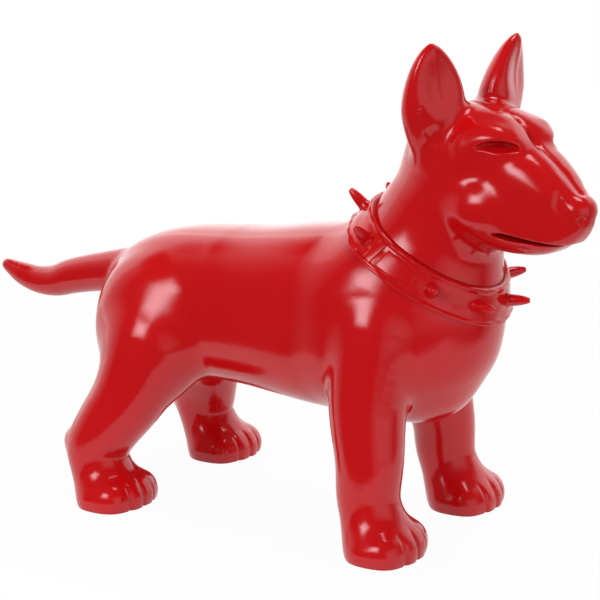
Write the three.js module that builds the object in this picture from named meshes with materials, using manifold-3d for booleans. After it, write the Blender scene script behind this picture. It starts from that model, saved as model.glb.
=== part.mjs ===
// Standing bull terrier statue with a spiked collar, moulded in glass-fibre resin and lacquered.
// Millimetres. +X points to the nose, +Y to the dog's left, +Z up, and the soles stand on z = 0.
// The body is sculpted as blended volumes, then divided into the castings that are bonded together.
import * as THREE from 'three';
import Module from 'manifold-3d';

const wasm = await Module();
wasm.setup();

// Laminate of the torso and head, the floors that close them at a seam, and the glue line.
const WALL = 6;
const FLOOR = 14;
const SEAM_GAP = 0.3;

// Spigots that join the castings: on each leg, on the tail, and a tube under the head.
const SPIGOT_LENGTH = 12;
const SPIGOT_ROOT = 10;
const LEG_SPIGOT_RADIUS = 20;
const TAIL_SPIGOT_RADIUS = 12;
const NECK_SPIGOT_RADIUS = 45;
const NECK_SPIGOT_BORE = 36;

// Trunk: centre and half sizes of each volume; the shoulders and thighs are pairs.
const RIB_CAGE = { at: [124, 0, 233], half: [152, 101, 104] };
const LOIN = { at: [-10, 0, 230], half: [170, 89, 91] };
const RUMP = { at: [-114, 0, 224], half: [100, 90, 79] };
const FORECHEST = { at: [222, 0, 238], half: [69, 80, 90] };
const SHOULDER = { at: [172, 64, 238], half: [58, 42, 84] };
const THIGH = { at: [-118, 62, 198], half: [74, 48, 84] };
const TRUNK_BLEND = 36;
const TRUNK_SQUARENESS = 2.5;

// Neck: a leaning cone between two [x, y, z, radius], a little narrower than deep.
const NECK_BASE = [203, 0, 290, 84];
const NECK_TOP = [256, -9, 402, 60];
const NECK_NARROWING = 0.95;
const NECK_BLEND = 34;

// Limbs: joints as [x, y, z, radius] on a smooth curve, mirrored on the other side.
const FRONT_LEG = [[186, 66, 235, 52], [184, 82, 158, 42], [193, 94, 100, 34.5], [193, 96, 62, 32.5],
  [198, 97, 38, 32]];
const HIND_LEG = [[-108, 72, 186, 54], [-126, 94, 128, 43], [-148, 108, 90, 37.5], [-162, 112, 64, 35],
  [-160, 112, 40, 33]];
const HOCK = { at: [-190, 112, 67], half: [16, 15, 13] };
const TAIL = [[-170, 0, 254, 30], [-236, 0, 245, 23.5], [-283, 0, 235, 21], [-312, 0, 226, 18.5],
  [-340, 0, 224, 16], [-366, 0, 229, 13], [-386, 0, 236, 8], [-394, 0, 239, 5]];
const SPLINE_STEPS = 3;
const SPAN_BLEND = 6;
const LIMB_BLEND = 18;
const FRONT_LEG_BLEND = 8;
const HOCK_BLEND = 16;
const TAIL_BLEND = 9;

// The left legs stand further back than the right ones, most of all at one height.
const FRONT_SETBACK = { amount: 6, height: 40, reach: 90 };
const HIND_SETBACK = { amount: 20, height: 108, reach: 42 };

// Paws: centre, length and width, with four toes fanned across the front.
// The shares are of a paw's own size.
const FRONT_PAW = { x: 212, y: 98, length: 94, width: 106 };
const HIND_PAW = { x: -140, y: 112, length: 96, width: 104 };
const PAW_HEIGHT = 42;
const PAW_CENTRE_HEIGHT = 8;
const PAW_SHARE = [0.41, 0.48, 1];
const PAW_BLEND = 22;
const TOES = [[0.2, -0.29], [0.27, -0.1], [0.27, 0.1], [0.2, 0.29]];
const TOE_SHARE = [0.19, 0.16, 0.62];
const TOE_BLEND = 12;

// Head: turned to the dog's right and cocked a little, with its volumes in the head's own frame.
const HEAD_AT = [225, 0, 400];
const HEAD_TURN = 15;
const HEAD_TILT = 2.5;
const CRANIUM = { at: [38, 0, 22], half: [68, 60, 56] };
const FOREHEAD = { at: [71, 25, 40], half: [46, 33, 32] };
const CHEEK = { at: [82, 37, -20], half: [40, 29, 30] };
const BROW = { at: [103, 28, 43], half: [24, 17, 11] };
const NOSE = { at: [186, 0, -20], half: [13, 18, 13] };
const HEAD_BLEND = 20;
const FACE_BLEND = 14;
const NOSE_BLEND = 6;

// Muzzle: a boxy egg, taller than wide, whose lower half is set back in front to make the jaw.
const MUZZLE = [[62, 0, -4, 51], [104, 0, -13, 45.5], [135, 0, -23, 37.5], [156, 0, -27, 28],
  [171, 0, -27, 20], [182, 0, -25, 13], [187, 0, -24, 9]];
const MUZZLE_SQUARENESS = 2.4;
const MUZZLE_STRETCH = 1.25;
const JAW_SETBACK = 8;
const JAW_STEP = 6;

// Mouth: a slit of a set depth from its corner to the front. Eyes and nostrils: cuts in the face.
const MOUTH_CORNER = [106, -47];
const MOUTH_FALL = -0.12;
const MOUTH_FRONT = 192;
const MOUTH_OPENING = 3.4;
const MOUTH_FRONT_OPENING = 1;
const MOUTH_WIDEST = 0.17;
const MOUTH_DEPTH = 12;
const EYE = { at: [112, 42, 42], half: [25, 15, 7], along: [36, -26, 3], into: [-0.42, -0.6, 0.75] };
const NOSTRIL = { at: [196, 12, -27], half: [5, 4, 4.5], along: [1, 0, 0], into: [0, 1, 0] };

// Ears: upright leaves, dished in front, cut from the head across the ear and held by a pin.
// The leaf's stations are shares of its length and of its half width; the dish is in the ear's own frame.
const EAR_BASE = [34, 48, 56];
const EAR_TIP = [48, 67, 146];
const EAR_FACING = 20;
const EAR_HALF_WIDTH = 34;
const EAR_FLATNESS = 0.64;
const EAR_LEAF = [[-0.07, 0.86], [0.28, 1], [0.58, 0.77], [0.8, 0.44], [0.93, 0.15]];
const EAR_DISH = { at: [0, 63, 72], half: [58, 60, 60] };
const EAR_BLEND = 12;
const EAR_SEAM = 28;
const EAR_PIN_RADIUS = 3;
const EAR_PIN_LENGTH = 24;
const EAR_PIN_SETBACK = 11;

// Seams between castings.
const LEG_SEAM_DROP = 13;
const LEG_SEAM = RIB_CAGE.at[2] - RIB_CAGE.half[2] - LEG_SEAM_DROP;
const TAIL_SEAM = -222;

// Collar: a band with raised edges that follows the neck, a keeper, a strap end and a row of spikes.
const COLLAR_AT = [220, -3, 314];
const COLLAR_LEAN = 32;
const COLLAR_TURN = -4;
const COLLAR_WIDTH = 32;
const COLLAR_THICKNESS = 5;
const COLLAR_EDGE_WIDTH = 5;
const COLLAR_EDGE_RISE = 2.5;
const COLLAR_EDGE_BEVEL = 1.2;
const COLLAR_STEPS = 30;
const SPIKE_ANGLES = [-60, -24, 12, 48, 84, 120, 156, 192, 240];
const SPIKE_LENGTH = 25;
const SPIKE_RADIUS = 7.2;
const SPIKE_TIP_RADIUS = 1.8;
const SPIKE_FULLNESS = 0.8;
const SPIKE_STATIONS = [0, 0.35, 0.65, 0.9];
const SPIKE_PEG_RADIUS = 2.5;
const SPIKE_PEG_LENGTH = 3.5;
const KEEPER_ANGLE = 252;
const KEEPER_ARC = 7;
const KEEPER_RISE = 3.5;
const KEEPER_SIDE_RISE = 1;
const KEEPER_BEVEL = 2.4;
const KEEPER_SIDE_GAP = 0.6;
const STRAP_END_ANGLE = 273;
const STRAP_END_ARC = 28;
const STRAP_END_WIDTH = 18;
const STRAP_END_RISE = 2.5;
const STRAP_END_TIP = 0.2;
const STRAP_END_CROWN = 0.9;

// Facet sizes of the sculpted surfaces.
const TORSO_CELL = 28;
const HEAD_CELL = 15;
const MOUTH_CELL = 14;
const LEG_CELL = 14;
const EAR_CELL = 8.5;
const TAIL_CELL = 14;
const HOLLOW_CELL = 34;
const SPIGOT_SIDES = 20;
const PIN_SIDES = 12;
const SPIKE_SIDES = 8;
const DISH_SIDES = 32;
const CUT_SIDES = 12;

const radians = THREE.MathUtils.degToRad;

// Distance to an ellipsoid, negative inside, boxier across its length above a squareness of 2.
function ellipsoid(x, y, z, { at, half }, squareness = 2) {
  const a = (x - at[0]) / half[0];
  const b = (y - at[1]) / half[1];
  const c = (z - at[2]) / half[2];
  const k = Math.hypot(a, norm([b, c], squareness));
  const slope = Math.hypot(a / half[0], b / half[1], c / half[2]);
  return slope < 1e-9 ? -Math.min(...half) : (k * (k - 1)) / slope;
}

// The length of a vector where a squareness of 2 draws circles and more draws rounded squares.
function norm(vector, squareness) {
  if (squareness === 2) {
    return Math.hypot(...vector);
  }
  return vector.reduce((sum, c) => sum + Math.abs(c) ** squareness, 0) ** (1 / squareness);
}

// Distance to a tapered segment with round ends, or boxier ones.
function segment(x, y, z, a, b, squareness = 2) {
  const d = [b[0] - a[0], b[1] - a[1], b[2] - a[2]];
  const along = (x - a[0]) * d[0] + (y - a[1]) * d[1] + (z - a[2]) * d[2];
  const t = THREE.MathUtils.clamp(along / (d[0] ** 2 + d[1] ** 2 + d[2] ** 2), 0, 1);
  const off = norm([x - a[0] - t * d[0], y - a[1] - t * d[1], z - a[2] - t * d[2]], squareness);
  return off - THREE.MathUtils.lerp(a[3], b[3], t);
}

// Union with a fillet of about the given size.
function join(a, b, blend) {
  const h = Math.max(blend - Math.abs(a - b), 0) / blend;
  return Math.min(a, b) - (h * h * blend) / 4;
}

// Points along a smooth curve through the joints, radius included.
function spline(joints) {
  const last = joints.length - 1;
  const beyond = (end, next) => end.map((c, m) => 2 * c - next[m]);
  const all = [beyond(joints[0], joints[1]), ...joints, beyond(joints[last], joints[last - 1])];
  const points = [];
  for (let i = 1; i + 2 < all.length; i += 1) {
    for (let step = 0; step < SPLINE_STEPS; step += 1) {
      const t = step / SPLINE_STEPS;
      points.push(all[i].map((b, m) => {
        const [a, c, d] = [all[i - 1][m], all[i + 1][m], all[i + 2][m]];
        return b + 0.5 * t * (c - a + t * (2 * a - 5 * b + 4 * c - d + t * (3 * (b - c) + d - a)));
      }));
    }
  }
  return [...points, joints[last]];
}

function limb(x, y, z, points, squareness = 2) {
  let d = segment(x, y, z, points[0], points[1], squareness);
  for (let i = 1; i + 1 < points.length; i += 1) {
    d = join(d, segment(x, y, z, points[i], points[i + 1], squareness), SPAN_BLEND);
  }
  return d;
}

const frontLegCurve = spline(FRONT_LEG);
const hindLegCurve = spline(HIND_LEG);
const tailCurve = spline(TAIL);

function trunk(x, y, z) {
  let d = ellipsoid(x, y, z, RIB_CAGE, TRUNK_SQUARENESS);
  d = join(d, ellipsoid(x, y, z, LOIN, TRUNK_SQUARENESS), TRUNK_BLEND);
  d = join(d, ellipsoid(x, y, z, RUMP), TRUNK_BLEND);
  d = join(d, ellipsoid(x, y, z, FORECHEST), TRUNK_BLEND);
  return join(d, ellipsoid(x, Math.abs(y), z, SHOULDER), TRUNK_BLEND);
}

function neck(x, y, z) {
  const narrow = (p) => [p[0], p[1] / NECK_NARROWING, p[2], p[3]];
  return segment(x, y / NECK_NARROWING, z, narrow(NECK_BASE), narrow(NECK_TOP)) * NECK_NARROWING;
}

function paw(x, y, z, place) {
  const size = [place.length, place.width, PAW_HEIGHT - PAW_CENTRE_HEIGHT];
  const part = (at, share) => ellipsoid(x, y, z, { at, half: share.map((s, m) => s * size[m]) });
  let d = part([place.x, place.y, PAW_CENTRE_HEIGHT], PAW_SHARE);
  for (const [ahead, side] of TOES) {
    const at = [place.x + ahead * place.length, place.y + side * place.width, PAW_CENTRE_HEIGHT];
    d = join(d, part(at, TOE_SHARE), TOE_BLEND);
  }
  return d;
}

// How far back a leg stands at a height: nothing on the right, and fading above and below on the left.
function setback(y, z, { amount, height, reach }) {
  return y > 0 ? amount * Math.exp(-(((z - height) / reach) ** 2)) : 0;
}

function frontLeg(x, y, z) {
  const at = [x + setback(y, z, FRONT_SETBACK), Math.abs(y), z];
  return join(limb(...at, frontLegCurve), paw(...at, FRONT_PAW), PAW_BLEND);
}

function hindLeg(x, y, z) {
  const at = [x + setback(y, z, HIND_SETBACK), Math.abs(y), z];
  let d = join(limb(...at, hindLegCurve), ellipsoid(...at, THIGH), LIMB_BLEND);
  d = join(d, ellipsoid(...at, HOCK), HOCK_BLEND);
  return join(d, paw(...at, HIND_PAW), PAW_BLEND);
}

// The head's frame: u forward, v to its left, w up.
const headFrame = new THREE.Matrix4()
  .makeTranslation(...HEAD_AT)
  .multiply(new THREE.Matrix4().makeRotationZ(radians(-HEAD_TURN)))
  .multiply(new THREE.Matrix4().makeRotationX(radians(HEAD_TILT)));
const intoHead = headFrame.clone().invert();
const probe = new THREE.Vector3();

function mouthLine(u) {
  return MOUTH_CORNER[1] + MOUTH_FALL * (u - MOUTH_CORNER[0]);
}

const muzzleCurve = spline(MUZZLE.map(([u, v, w, r]) => [u, v, w / MUZZLE_STRETCH, r]));

function muzzle(u, v, w) {
  const below = THREE.MathUtils.smoothstep(mouthLine(u) - w, -JAW_STEP / 2, JAW_STEP / 2);
  const ahead = THREE.MathUtils.smoothstep(u, MOUTH_CORNER[0], MOUTH_FRONT - JAW_SETBACK);
  return limb(u + JAW_SETBACK * below * ahead, v, w / MUZZLE_STRETCH, muzzleCurve, MUZZLE_SQUARENESS);
}

function head(u, v, w) {
  const side = Math.abs(v);
  let d = ellipsoid(u, side, w, CRANIUM);
  d = join(d, ellipsoid(u, side, w, FOREHEAD), HEAD_BLEND);
  d = join(d, muzzle(u, side, w), HEAD_BLEND);
  d = join(d, ellipsoid(u, side, w, CHEEK), FACE_BLEND);
  d = join(d, ellipsoid(u, side, w, BROW), FACE_BLEND);
  return join(d, ellipsoid(u, side, w, NOSE), NOSE_BLEND);
}

// The left ear's frame: s across the leaf, n out of its hollow, t up its length from the base.
const earUp = new THREE.Vector3(...EAR_TIP).sub(new THREE.Vector3(...EAR_BASE));
const EAR_LENGTH = earUp.length();
earUp.normalize();
const earFront = new THREE.Vector3(Math.cos(radians(EAR_FACING)), Math.sin(radians(EAR_FACING)), 0);
earFront.addScaledVector(earUp, -earFront.dot(earUp)).normalize();
const earAcross = new THREE.Vector3().crossVectors(earFront, earUp);
const earCurve = spline(EAR_LEAF.map(([f, w]) => [0, 0, f * EAR_LENGTH, w * EAR_HALF_WIDTH]));

function ear(u, v, w) {
  probe.set(u - EAR_BASE[0], Math.abs(v) - EAR_BASE[1], w - EAR_BASE[2]);
  const s = probe.dot(earAcross);
  const n = probe.dot(earFront);
  const t = probe.dot(earUp);
  return limb(s, n / EAR_FLATNESS, t, earCurve) * EAR_FLATNESS;
}

// Everything but the ears and the collar.
function bareNeck(x, y, z) {
  return join(trunk(x, y, z), neck(x, y, z), NECK_BLEND);
}

function carcass(x, y, z) {
  let d = join(bareNeck(x, y, z), hindLeg(x, y, z), LIMB_BLEND);
  d = join(d, frontLeg(x, y, z), FRONT_LEG_BLEND);
  d = join(d, limb(x, y, z, tailCurve), TAIL_BLEND);
  probe.set(x, y, z).applyMatrix4(intoHead);
  return join(d, head(probe.x, probe.y, probe.z), HEAD_BLEND);
}

function statue(x, y, z) {
  const d = carcass(x, y, z);
  probe.set(x, y, z).applyMatrix4(intoHead);
  return join(d, ear(probe.x, probe.y, probe.z), EAR_BLEND);
}

// The box round volumes and joints, with room to spare on every side.
function boxRound(shapes, room) {
  const middle = (shape, m) => (shape.half ? shape.at[m] : shape[m]);
  const reach = (shape, m) => (shape.half ? shape.half[m] : shape[3]) + room;
  return {
    low: [0, 1, 2].map((m) => Math.min(...shapes.map((shape) => middle(shape, m) - reach(shape, m)))),
    high: [0, 1, 2].map((m) => Math.max(...shapes.map((shape) => middle(shape, m) + reach(shape, m)))),
  };
}

// A point of the head's frame as a joint in the statue's, with a radius.
function headJoint([u, v, w], radius) {
  return [...new THREE.Vector3(u, v, w).applyMatrix4(headFrame).toArray(), radius];
}

// The field's values on a cubic grid round a box.
function sampleGrid(field, low, high, cell) {
  const count = low.map((l, k) => Math.ceil((high[k] - l) / cell) + 4);
  const start = low.map((l) => l - 1.5 * cell);
  const index = (i, j, k) => (i * count[1] + j) * count[2] + k;
  const value = new Float64Array(count[0] * count[1] * count[2]);
  for (let i = 0; i < count[0]; i += 1) {
    for (let j = 0; j < count[1]; j += 1) {
      for (let k = 0; k < count[2]; k += 1) {
        value[index(i, j, k)] = field(start[0] + i * cell, start[1] + j * cell, start[2] + k * cell);
      }
    }
  }
  return { count, start, index, value };
}

// A grid square with two opposite corners inside and two outside can't be crossed by one sheet,
// so the outside corner nearer to the surface is taken in, until no such square is left.
function mendTornSquares({ index, value }, cell) {
  const steps = [index(1, 0, 0), index(0, 1, 0), index(0, 0, 1)];
  let torn = true;
  while (torn) {
    torn = false;
    for (let here = 0; here < value.length; here += 1) {
      for (const [p, q] of [[steps[0], steps[1]], [steps[1], steps[2]], [steps[2], steps[0]]]) {
        const square = [here, here + p, here + p + q, here + q];
        const inside = square.map((at) => value[at] < 0);
        if (inside[0] === inside[2] && inside[1] === inside[3] && inside[0] !== inside[1]) {
          const outside = square.filter((at) => !(value[at] < 0));
          const nearer = value[outside[0]] < value[outside[1]] ? outside[0] : outside[1];
          value[nearer] = -cell / 50;
          torn = true;
        }
      }
    }
  }
}

// Closed triangle solid of the volume where the field is negative, inside a box, on a cubic grid.
// Each grid cell that the surface crosses has one vertex, drawn onto the surface along its slope.
function sculpt(field, low, high, cell) {
  const boxed = (x, y, z) => Math.max(
    field(x, y, z), low[0] - x, x - high[0], low[1] - y, y - high[1], low[2] - z, z - high[2],
  );
  const grid = sampleGrid(boxed, low, high, cell);
  mendTornSquares(grid, cell);
  const { count, start, index, value } = grid;
  const corner = [[0, 0, 0], [1, 0, 0], [0, 1, 0], [1, 1, 0], [0, 0, 1], [1, 0, 1], [0, 1, 1], [1, 1, 1]];
  const edges = [
    [0, 1], [2, 3], [4, 5], [6, 7], [0, 2], [1, 3], [4, 6], [5, 7], [0, 4], [1, 5], [2, 6], [3, 7],
  ];
  const vertexOf = new Map();
  const points = [];
  for (let i = 0; i + 1 < count[0]; i += 1) {
    for (let j = 0; j + 1 < count[1]; j += 1) {
      for (let k = 0; k + 1 < count[2]; k += 1) {
        const v = corner.map(([a, b, c]) => value[index(i + a, j + b, k + c)]);
        const sum = [0, 0, 0];
        let hits = 0;
        for (const [p, q] of edges) {
          if (v[p] < 0 !== v[q] < 0) {
            const t = v[p] / (v[p] - v[q]);
            sum.forEach((_, m) => {
              sum[m] += THREE.MathUtils.lerp(corner[p][m], corner[q][m], t);
            });
            hits += 1;
          }
        }
        if (hits > 0) {
          const at = [i, j, k].map((g, m) => start[m] + (g + sum[m] / hits) * cell);
          vertexOf.set(index(i, j, k), points.length / 3);
          points.push(...drawOnto(boxed, at, cell));
        }
      }
    }
  }
  const faces = [];
  const around = [[0, 0], [-1, 0], [-1, -1], [0, -1]];
  for (let axis = 0; axis < 3; axis += 1) {
    const step = [0, 1, 2].map((m) => (m === axis ? 1 : 0));
    for (let i = 1; i + 1 < count[0]; i += 1) {
      for (let j = 1; j + 1 < count[1]; j += 1) {
        for (let k = 1; k + 1 < count[2]; k += 1) {
          const here = value[index(i, j, k)] < 0;
          if (here !== value[index(i + step[0], j + step[1], k + step[2])] < 0) {
            const ring = around.map(([a, b]) => {
              const g = [i, j, k];
              g[(axis + 1) % 3] += a;
              g[(axis + 2) % 3] += b;
              return vertexOf.get(index(...g));
            });
            addQuad(faces, points, here ? ring : ring.reverse());
          }
        }
      }
    }
  }
  return solid(points, faces);
}

function drawOnto(field, at, cell) {
  const p = [...at];
  const e = cell / 50;
  for (let turn = 0; turn < 3; turn += 1) {
    const f = field(...p);
    const slope = [0, 1, 2].map((m) => {
      const q = [...p];
      q[m] += e;
      return (field(...q) - f) / e;
    });
    const steep = Math.max(slope[0] ** 2 + slope[1] ** 2 + slope[2] ** 2, 0.1);
    slope.forEach((g, m) => {
      const move = THREE.MathUtils.clamp((-f * g) / steep, -cell / 3, cell / 3);
      p[m] = THREE.MathUtils.clamp(p[m] + move, at[m] - cell / 2, at[m] + cell / 2);
    });
  }
  return p;
}

// A quad becomes two triangles along its shorter diagonal.
function addQuad(faces, points, [a, b, c, d]) {
  const span = (p, q) => Math.hypot(...[0, 1, 2].map((m) => points[3 * p + m] - points[3 * q + m]));
  if (span(a, c) <= span(b, d)) {
    faces.push(a, b, c, a, c, d);
  } else {
    faces.push(a, b, d, b, c, d);
  }
}

function solid(points, faces) {
  const vertProperties = Float32Array.from(points);
  const triVerts = Uint32Array.from(faces);
  return new wasm.Manifold(new wasm.Mesh({ numProp: 3, vertProperties, triVerts }));
}

// A three.js geometry, placed by a matrix, as a solid.
function solidFrom(geometry, matrix) {
  const placed = geometry.clone().applyMatrix4(matrix);
  const position = placed.getAttribute('position');
  const found = new Map();
  const points = [];
  const lookup = [];
  for (let i = 0; i < position.count; i += 1) {
    const p = [position.getX(i), position.getY(i), position.getZ(i)];
    const key = p.map((c) => Math.round(c * 1e4)).join();
    if (!found.has(key)) {
      found.set(key, points.length / 3);
      points.push(...p);
    }
    lookup.push(found.get(key));
  }
  const order = placed.index ? Array.from(placed.index.array) : lookup.map((_, i) => i);
  const faces = [];
  for (let i = 0; i < order.length; i += 3) {
    const face = [lookup[order[i]], lookup[order[i + 1]], lookup[order[i + 2]]];
    if (new Set(face).size === 3) {
      faces.push(...face);
    }
  }
  return solid(points, faces);
}

// The space between two heights along a direction, as a large block: cutting planes come from its faces.
const BLOCK = 2000;

function slab(at, direction, from, to) {
  const turn = new THREE.Quaternion().setFromUnitVectors(new THREE.Vector3(0, 0, 1), direction);
  const middle = at.clone().addScaledVector(direction, (from + to) / 2);
  const matrix = new THREE.Matrix4().compose(middle, turn, new THREE.Vector3(1, 1, 1));
  return solidFrom(new THREE.BoxGeometry(BLOCK, BLOCK, to - from), matrix);
}

const origin = new THREE.Vector3();
const alongX = new THREE.Vector3(1, 0, 0);
const alongY = new THREE.Vector3(0, 1, 0);
const alongZ = new THREE.Vector3(0, 0, 1);

// A round bar along a direction from a point, between two distances.
function bar(at, direction, radius, from, to) {
  const turn = new THREE.Quaternion().setFromUnitVectors(alongY, direction);
  const middle = at.clone().addScaledVector(direction, (from + to) / 2);
  const matrix = new THREE.Matrix4().compose(middle, turn, new THREE.Vector3(1, 1, 1));
  return solidFrom(new THREE.CylinderGeometry(radius, radius, to - from, SPIGOT_SIDES), matrix);
}

function spigot(at, direction, radius) {
  return bar(at, direction, radius, -SPIGOT_ROOT, SPIGOT_LENGTH);
}

function spigotHole(at, direction, radius) {
  return bar(at, direction, radius + SEAM_GAP, -SPIGOT_ROOT, 2 * FLOOR);
}

// The point where a limb's centre line crosses a plane square to one axis.
function limbAt(joints, axis, level) {
  const i = joints.findIndex((_, k) => (joints[k][axis] - level) * (joints[k + 1][axis] - level) <= 0);
  const t = (level - joints[i][axis]) / (joints[i + 1][axis] - joints[i][axis]);
  const [x, y, z] = joints[i].map((c, m) => THREE.MathUtils.lerp(c, joints[i + 1][m], t));
  return new THREE.Vector3(x, y, z);
}

// The neck's seam lies in the plane of the collar.
const collarAxis = new THREE.Vector3(Math.sin(radians(COLLAR_LEAN)), 0, Math.cos(radians(COLLAR_LEAN)))
  .applyAxisAngle(alongZ, radians(COLLAR_TURN));
const collarAt = new THREE.Vector3(...COLLAR_AT);
const intoTorso = collarAxis.clone().negate();

// The space inside the torso and the head: trunk, neck and cranium drawn in by the wall.
function hollow(x, y, z) {
  const d = bareNeck(x, y, z);
  probe.set(x, y, z).applyMatrix4(intoHead);
  return join(d, ellipsoid(probe.x, probe.y, probe.z, CRANIUM), HEAD_BLEND) + WALL;
}
const cranium = headJoint(CRANIUM.at, Math.max(...CRANIUM.half));
const trunkShapes = [RIB_CAGE, LOIN, RUMP, FORECHEST, NECK_BASE, NECK_TOP];
const hollowBox = boxRound([...trunkShapes, cranium], HOLLOW_CELL);
const inside = sculpt(hollow, hollowBox.low, hollowBox.high, HOLLOW_CELL);

// Legs: solid castings that carry the weight, each with its seam's middle on the leg's own curve.
function legSeam(curve, back, place, side) {
  const at = limbAt(curve, 2, LEG_SEAM);
  at.x -= setback(side, LEG_SEAM, back);
  at.y *= side;
  return { at, side, curve, back, place };
}
const legSeams = {
  front_leg_left: legSeam(frontLegCurve, FRONT_SETBACK, FRONT_PAW, 1),
  front_leg_right: legSeam(frontLegCurve, FRONT_SETBACK, FRONT_PAW, -1),
  hind_leg_left: legSeam(hindLegCurve, HIND_SETBACK, HIND_PAW, 1),
  hind_leg_right: legSeam(hindLegCurve, HIND_SETBACK, HIND_PAW, -1),
};

function leg({ at, side, curve, back, place }) {
  const foot = { at: [place.x, place.y, 0], half: [place.length / 2, place.width / 2, LEG_CELL] };
  const lower = curve.filter((joint) => joint[2] < LEG_SEAM + LEG_CELL);
  const { low, high } = boxRound([foot, ...lower], LEG_CELL + back.amount);
  const across = [side * low[1], side * high[1]].sort((a, b) => a - b);
  const top = LEG_SEAM + 2 * LEG_CELL;
  return sculpt(statue, [low[0], across[0], low[2]], [high[0], across[1], top], LEG_CELL)
    .intersect(slab(origin, alongZ, 0, LEG_SEAM - SEAM_GAP / 2))
    .add(spigot(at, alongZ, LEG_SPIGOT_RADIUS));
}

// Tail: a solid casting.
const tailAt = limbAt(TAIL, 0, TAIL_SEAM);
const tailBox = boxRound(TAIL, TAIL_CELL);
tailBox.high[0] = TAIL_SEAM + 2 * TAIL_CELL;
const tail = sculpt(statue, tailBox.low, tailBox.high, TAIL_CELL)
  .intersect(slab(tailAt, alongX, -BLOCK / 2, -SEAM_GAP / 2))
  .add(spigot(tailAt, alongX, TAIL_SPIGOT_RADIUS));

// Collar: points on the neck's surface by angle from the throat and by height along the collar's axis.
const collarFront = new THREE.Vector3().crossVectors(alongY, collarAxis).normalize();
const collarSide = new THREE.Vector3().crossVectors(collarAxis, collarFront);

const half = COLLAR_WIDTH / 2;

function neckRadius(ray, height) {
  const foot = collarAt.clone().addScaledVector(collarAxis, height);
  let near = 0;
  let far = 2 * NECK_BASE[3];
  for (let turn = 0; turn < 40; turn += 1) {
    const middle = (near + far) / 2;
    const p = foot.clone().addScaledVector(ray, middle);
    if (bareNeck(p.x, p.y, p.z) < 0) {
      near = middle;
    } else {
      far = middle;
    }
  }
  return near;
}

// The band is a flat strap, so it runs straight across from its lower edge to its upper one.
function collarPoint(angle, height, rise) {
  const ray = collarFront.clone().multiplyScalar(Math.cos(angle))
    .addScaledVector(collarSide, Math.sin(angle));
  const across = (height + half) / COLLAR_WIDTH;
  const radius = THREE.MathUtils.lerp(neckRadius(ray, -half), neckRadius(ray, half), across);
  return collarAt.clone().addScaledVector(collarAxis, height).addScaledVector(ray, radius + rise);
}

// A strip laid round the neck: a closed section of [height, rise] points swept over an arc.
function neckStrip(sectionAt, fromDegrees, toDegrees, steps) {
  const whole = toDegrees - fromDegrees >= 360;
  const rows = whole ? steps : steps + 1;
  const size = sectionAt(0).length;
  const points = [];
  for (let i = 0; i < rows; i += 1) {
    const angle = radians(THREE.MathUtils.lerp(fromDegrees, toDegrees, i / steps));
    for (const [height, rise] of sectionAt(i / steps)) {
      points.push(...collarPoint(angle, height, rise).toArray());
    }
  }
  const faces = [];
  for (let i = 0; i < steps; i += 1) {
    for (let k = 0; k < size; k += 1) {
      const a = i * size + k;
      const b = i * size + ((k + 1) % size);
      const c = ((i + 1) % rows) * size + ((k + 1) % size);
      const d = ((i + 1) % rows) * size + k;
      addQuad(faces, points, [a, b, c, d]);
    }
  }
  if (!whole) {
    const last = (rows - 1) * size;
    for (let k = 1; k + 1 < size; k += 1) {
      faces.push(0, k + 1, k, last, last + k, last + k + 1);
    }
  }
  return solid(points, faces);
}

const edge = half - COLLAR_EDGE_WIDTH;
const face = SEAM_GAP + COLLAR_THICKNESS;
const halfStep = 180 / COLLAR_STEPS;

// The band's seat: a path round the neck, as wide as the band, dressed to the neck's own surface.
const seatHalf = half + SEAM_GAP;
const seatSection = [[-seatHalf, 0], [seatHalf, 0], [seatHalf, 2 * face], [-seatHalf, 2 * face]];
const seat = neckStrip(() => seatSection, halfStep, 360 + halfStep, COLLAR_STEPS);

// Torso: two shells bonded along the middle, with holes in their floors for the spigots.
const torsoBox = boxRound([...trunkShapes, SHOULDER, THIGH, ...HIND_LEG, ...FRONT_LEG], TORSO_CELL);
torsoBox.low = [TAIL_SEAM - TORSO_CELL, -torsoBox.high[1], LEG_SEAM - TORSO_CELL];
torsoBox.high[2] = NECK_BASE[2] + NECK_BASE[3] + TORSO_CELL;
let torso = sculpt(statue, torsoBox.low, torsoBox.high, TORSO_CELL)
  .intersect(slab(collarAt, collarAxis, -BLOCK / 2, -SEAM_GAP / 2))
  .intersect(slab(tailAt, alongX, SEAM_GAP / 2, BLOCK / 2))
  .intersect(slab(new THREE.Vector3(0, 0, LEG_SEAM), alongZ, SEAM_GAP / 2, BLOCK / 2))
  .subtract(inside
    .intersect(slab(collarAt, collarAxis, -BLOCK / 2, -FLOOR))
    .intersect(slab(tailAt, alongX, FLOOR, BLOCK / 2))
    .intersect(slab(new THREE.Vector3(0, 0, LEG_SEAM), alongZ, FLOOR, BLOCK / 2)))
  .subtract(seat)
  .subtract(spigotHole(collarAt, intoTorso, NECK_SPIGOT_RADIUS))
  .subtract(spigotHole(tailAt, alongX, TAIL_SPIGOT_RADIUS));
for (const { at } of Object.values(legSeams)) {
  torso = torso.subtract(spigotHole(at, alongZ, LEG_SPIGOT_RADIUS));
}
const torsoLeft = torso.intersect(slab(origin, alongY, SEAM_GAP / 2, BLOCK / 2));
const torsoRight = torso.intersect(slab(origin, alongY, -BLOCK / 2, -SEAM_GAP / 2));

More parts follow.
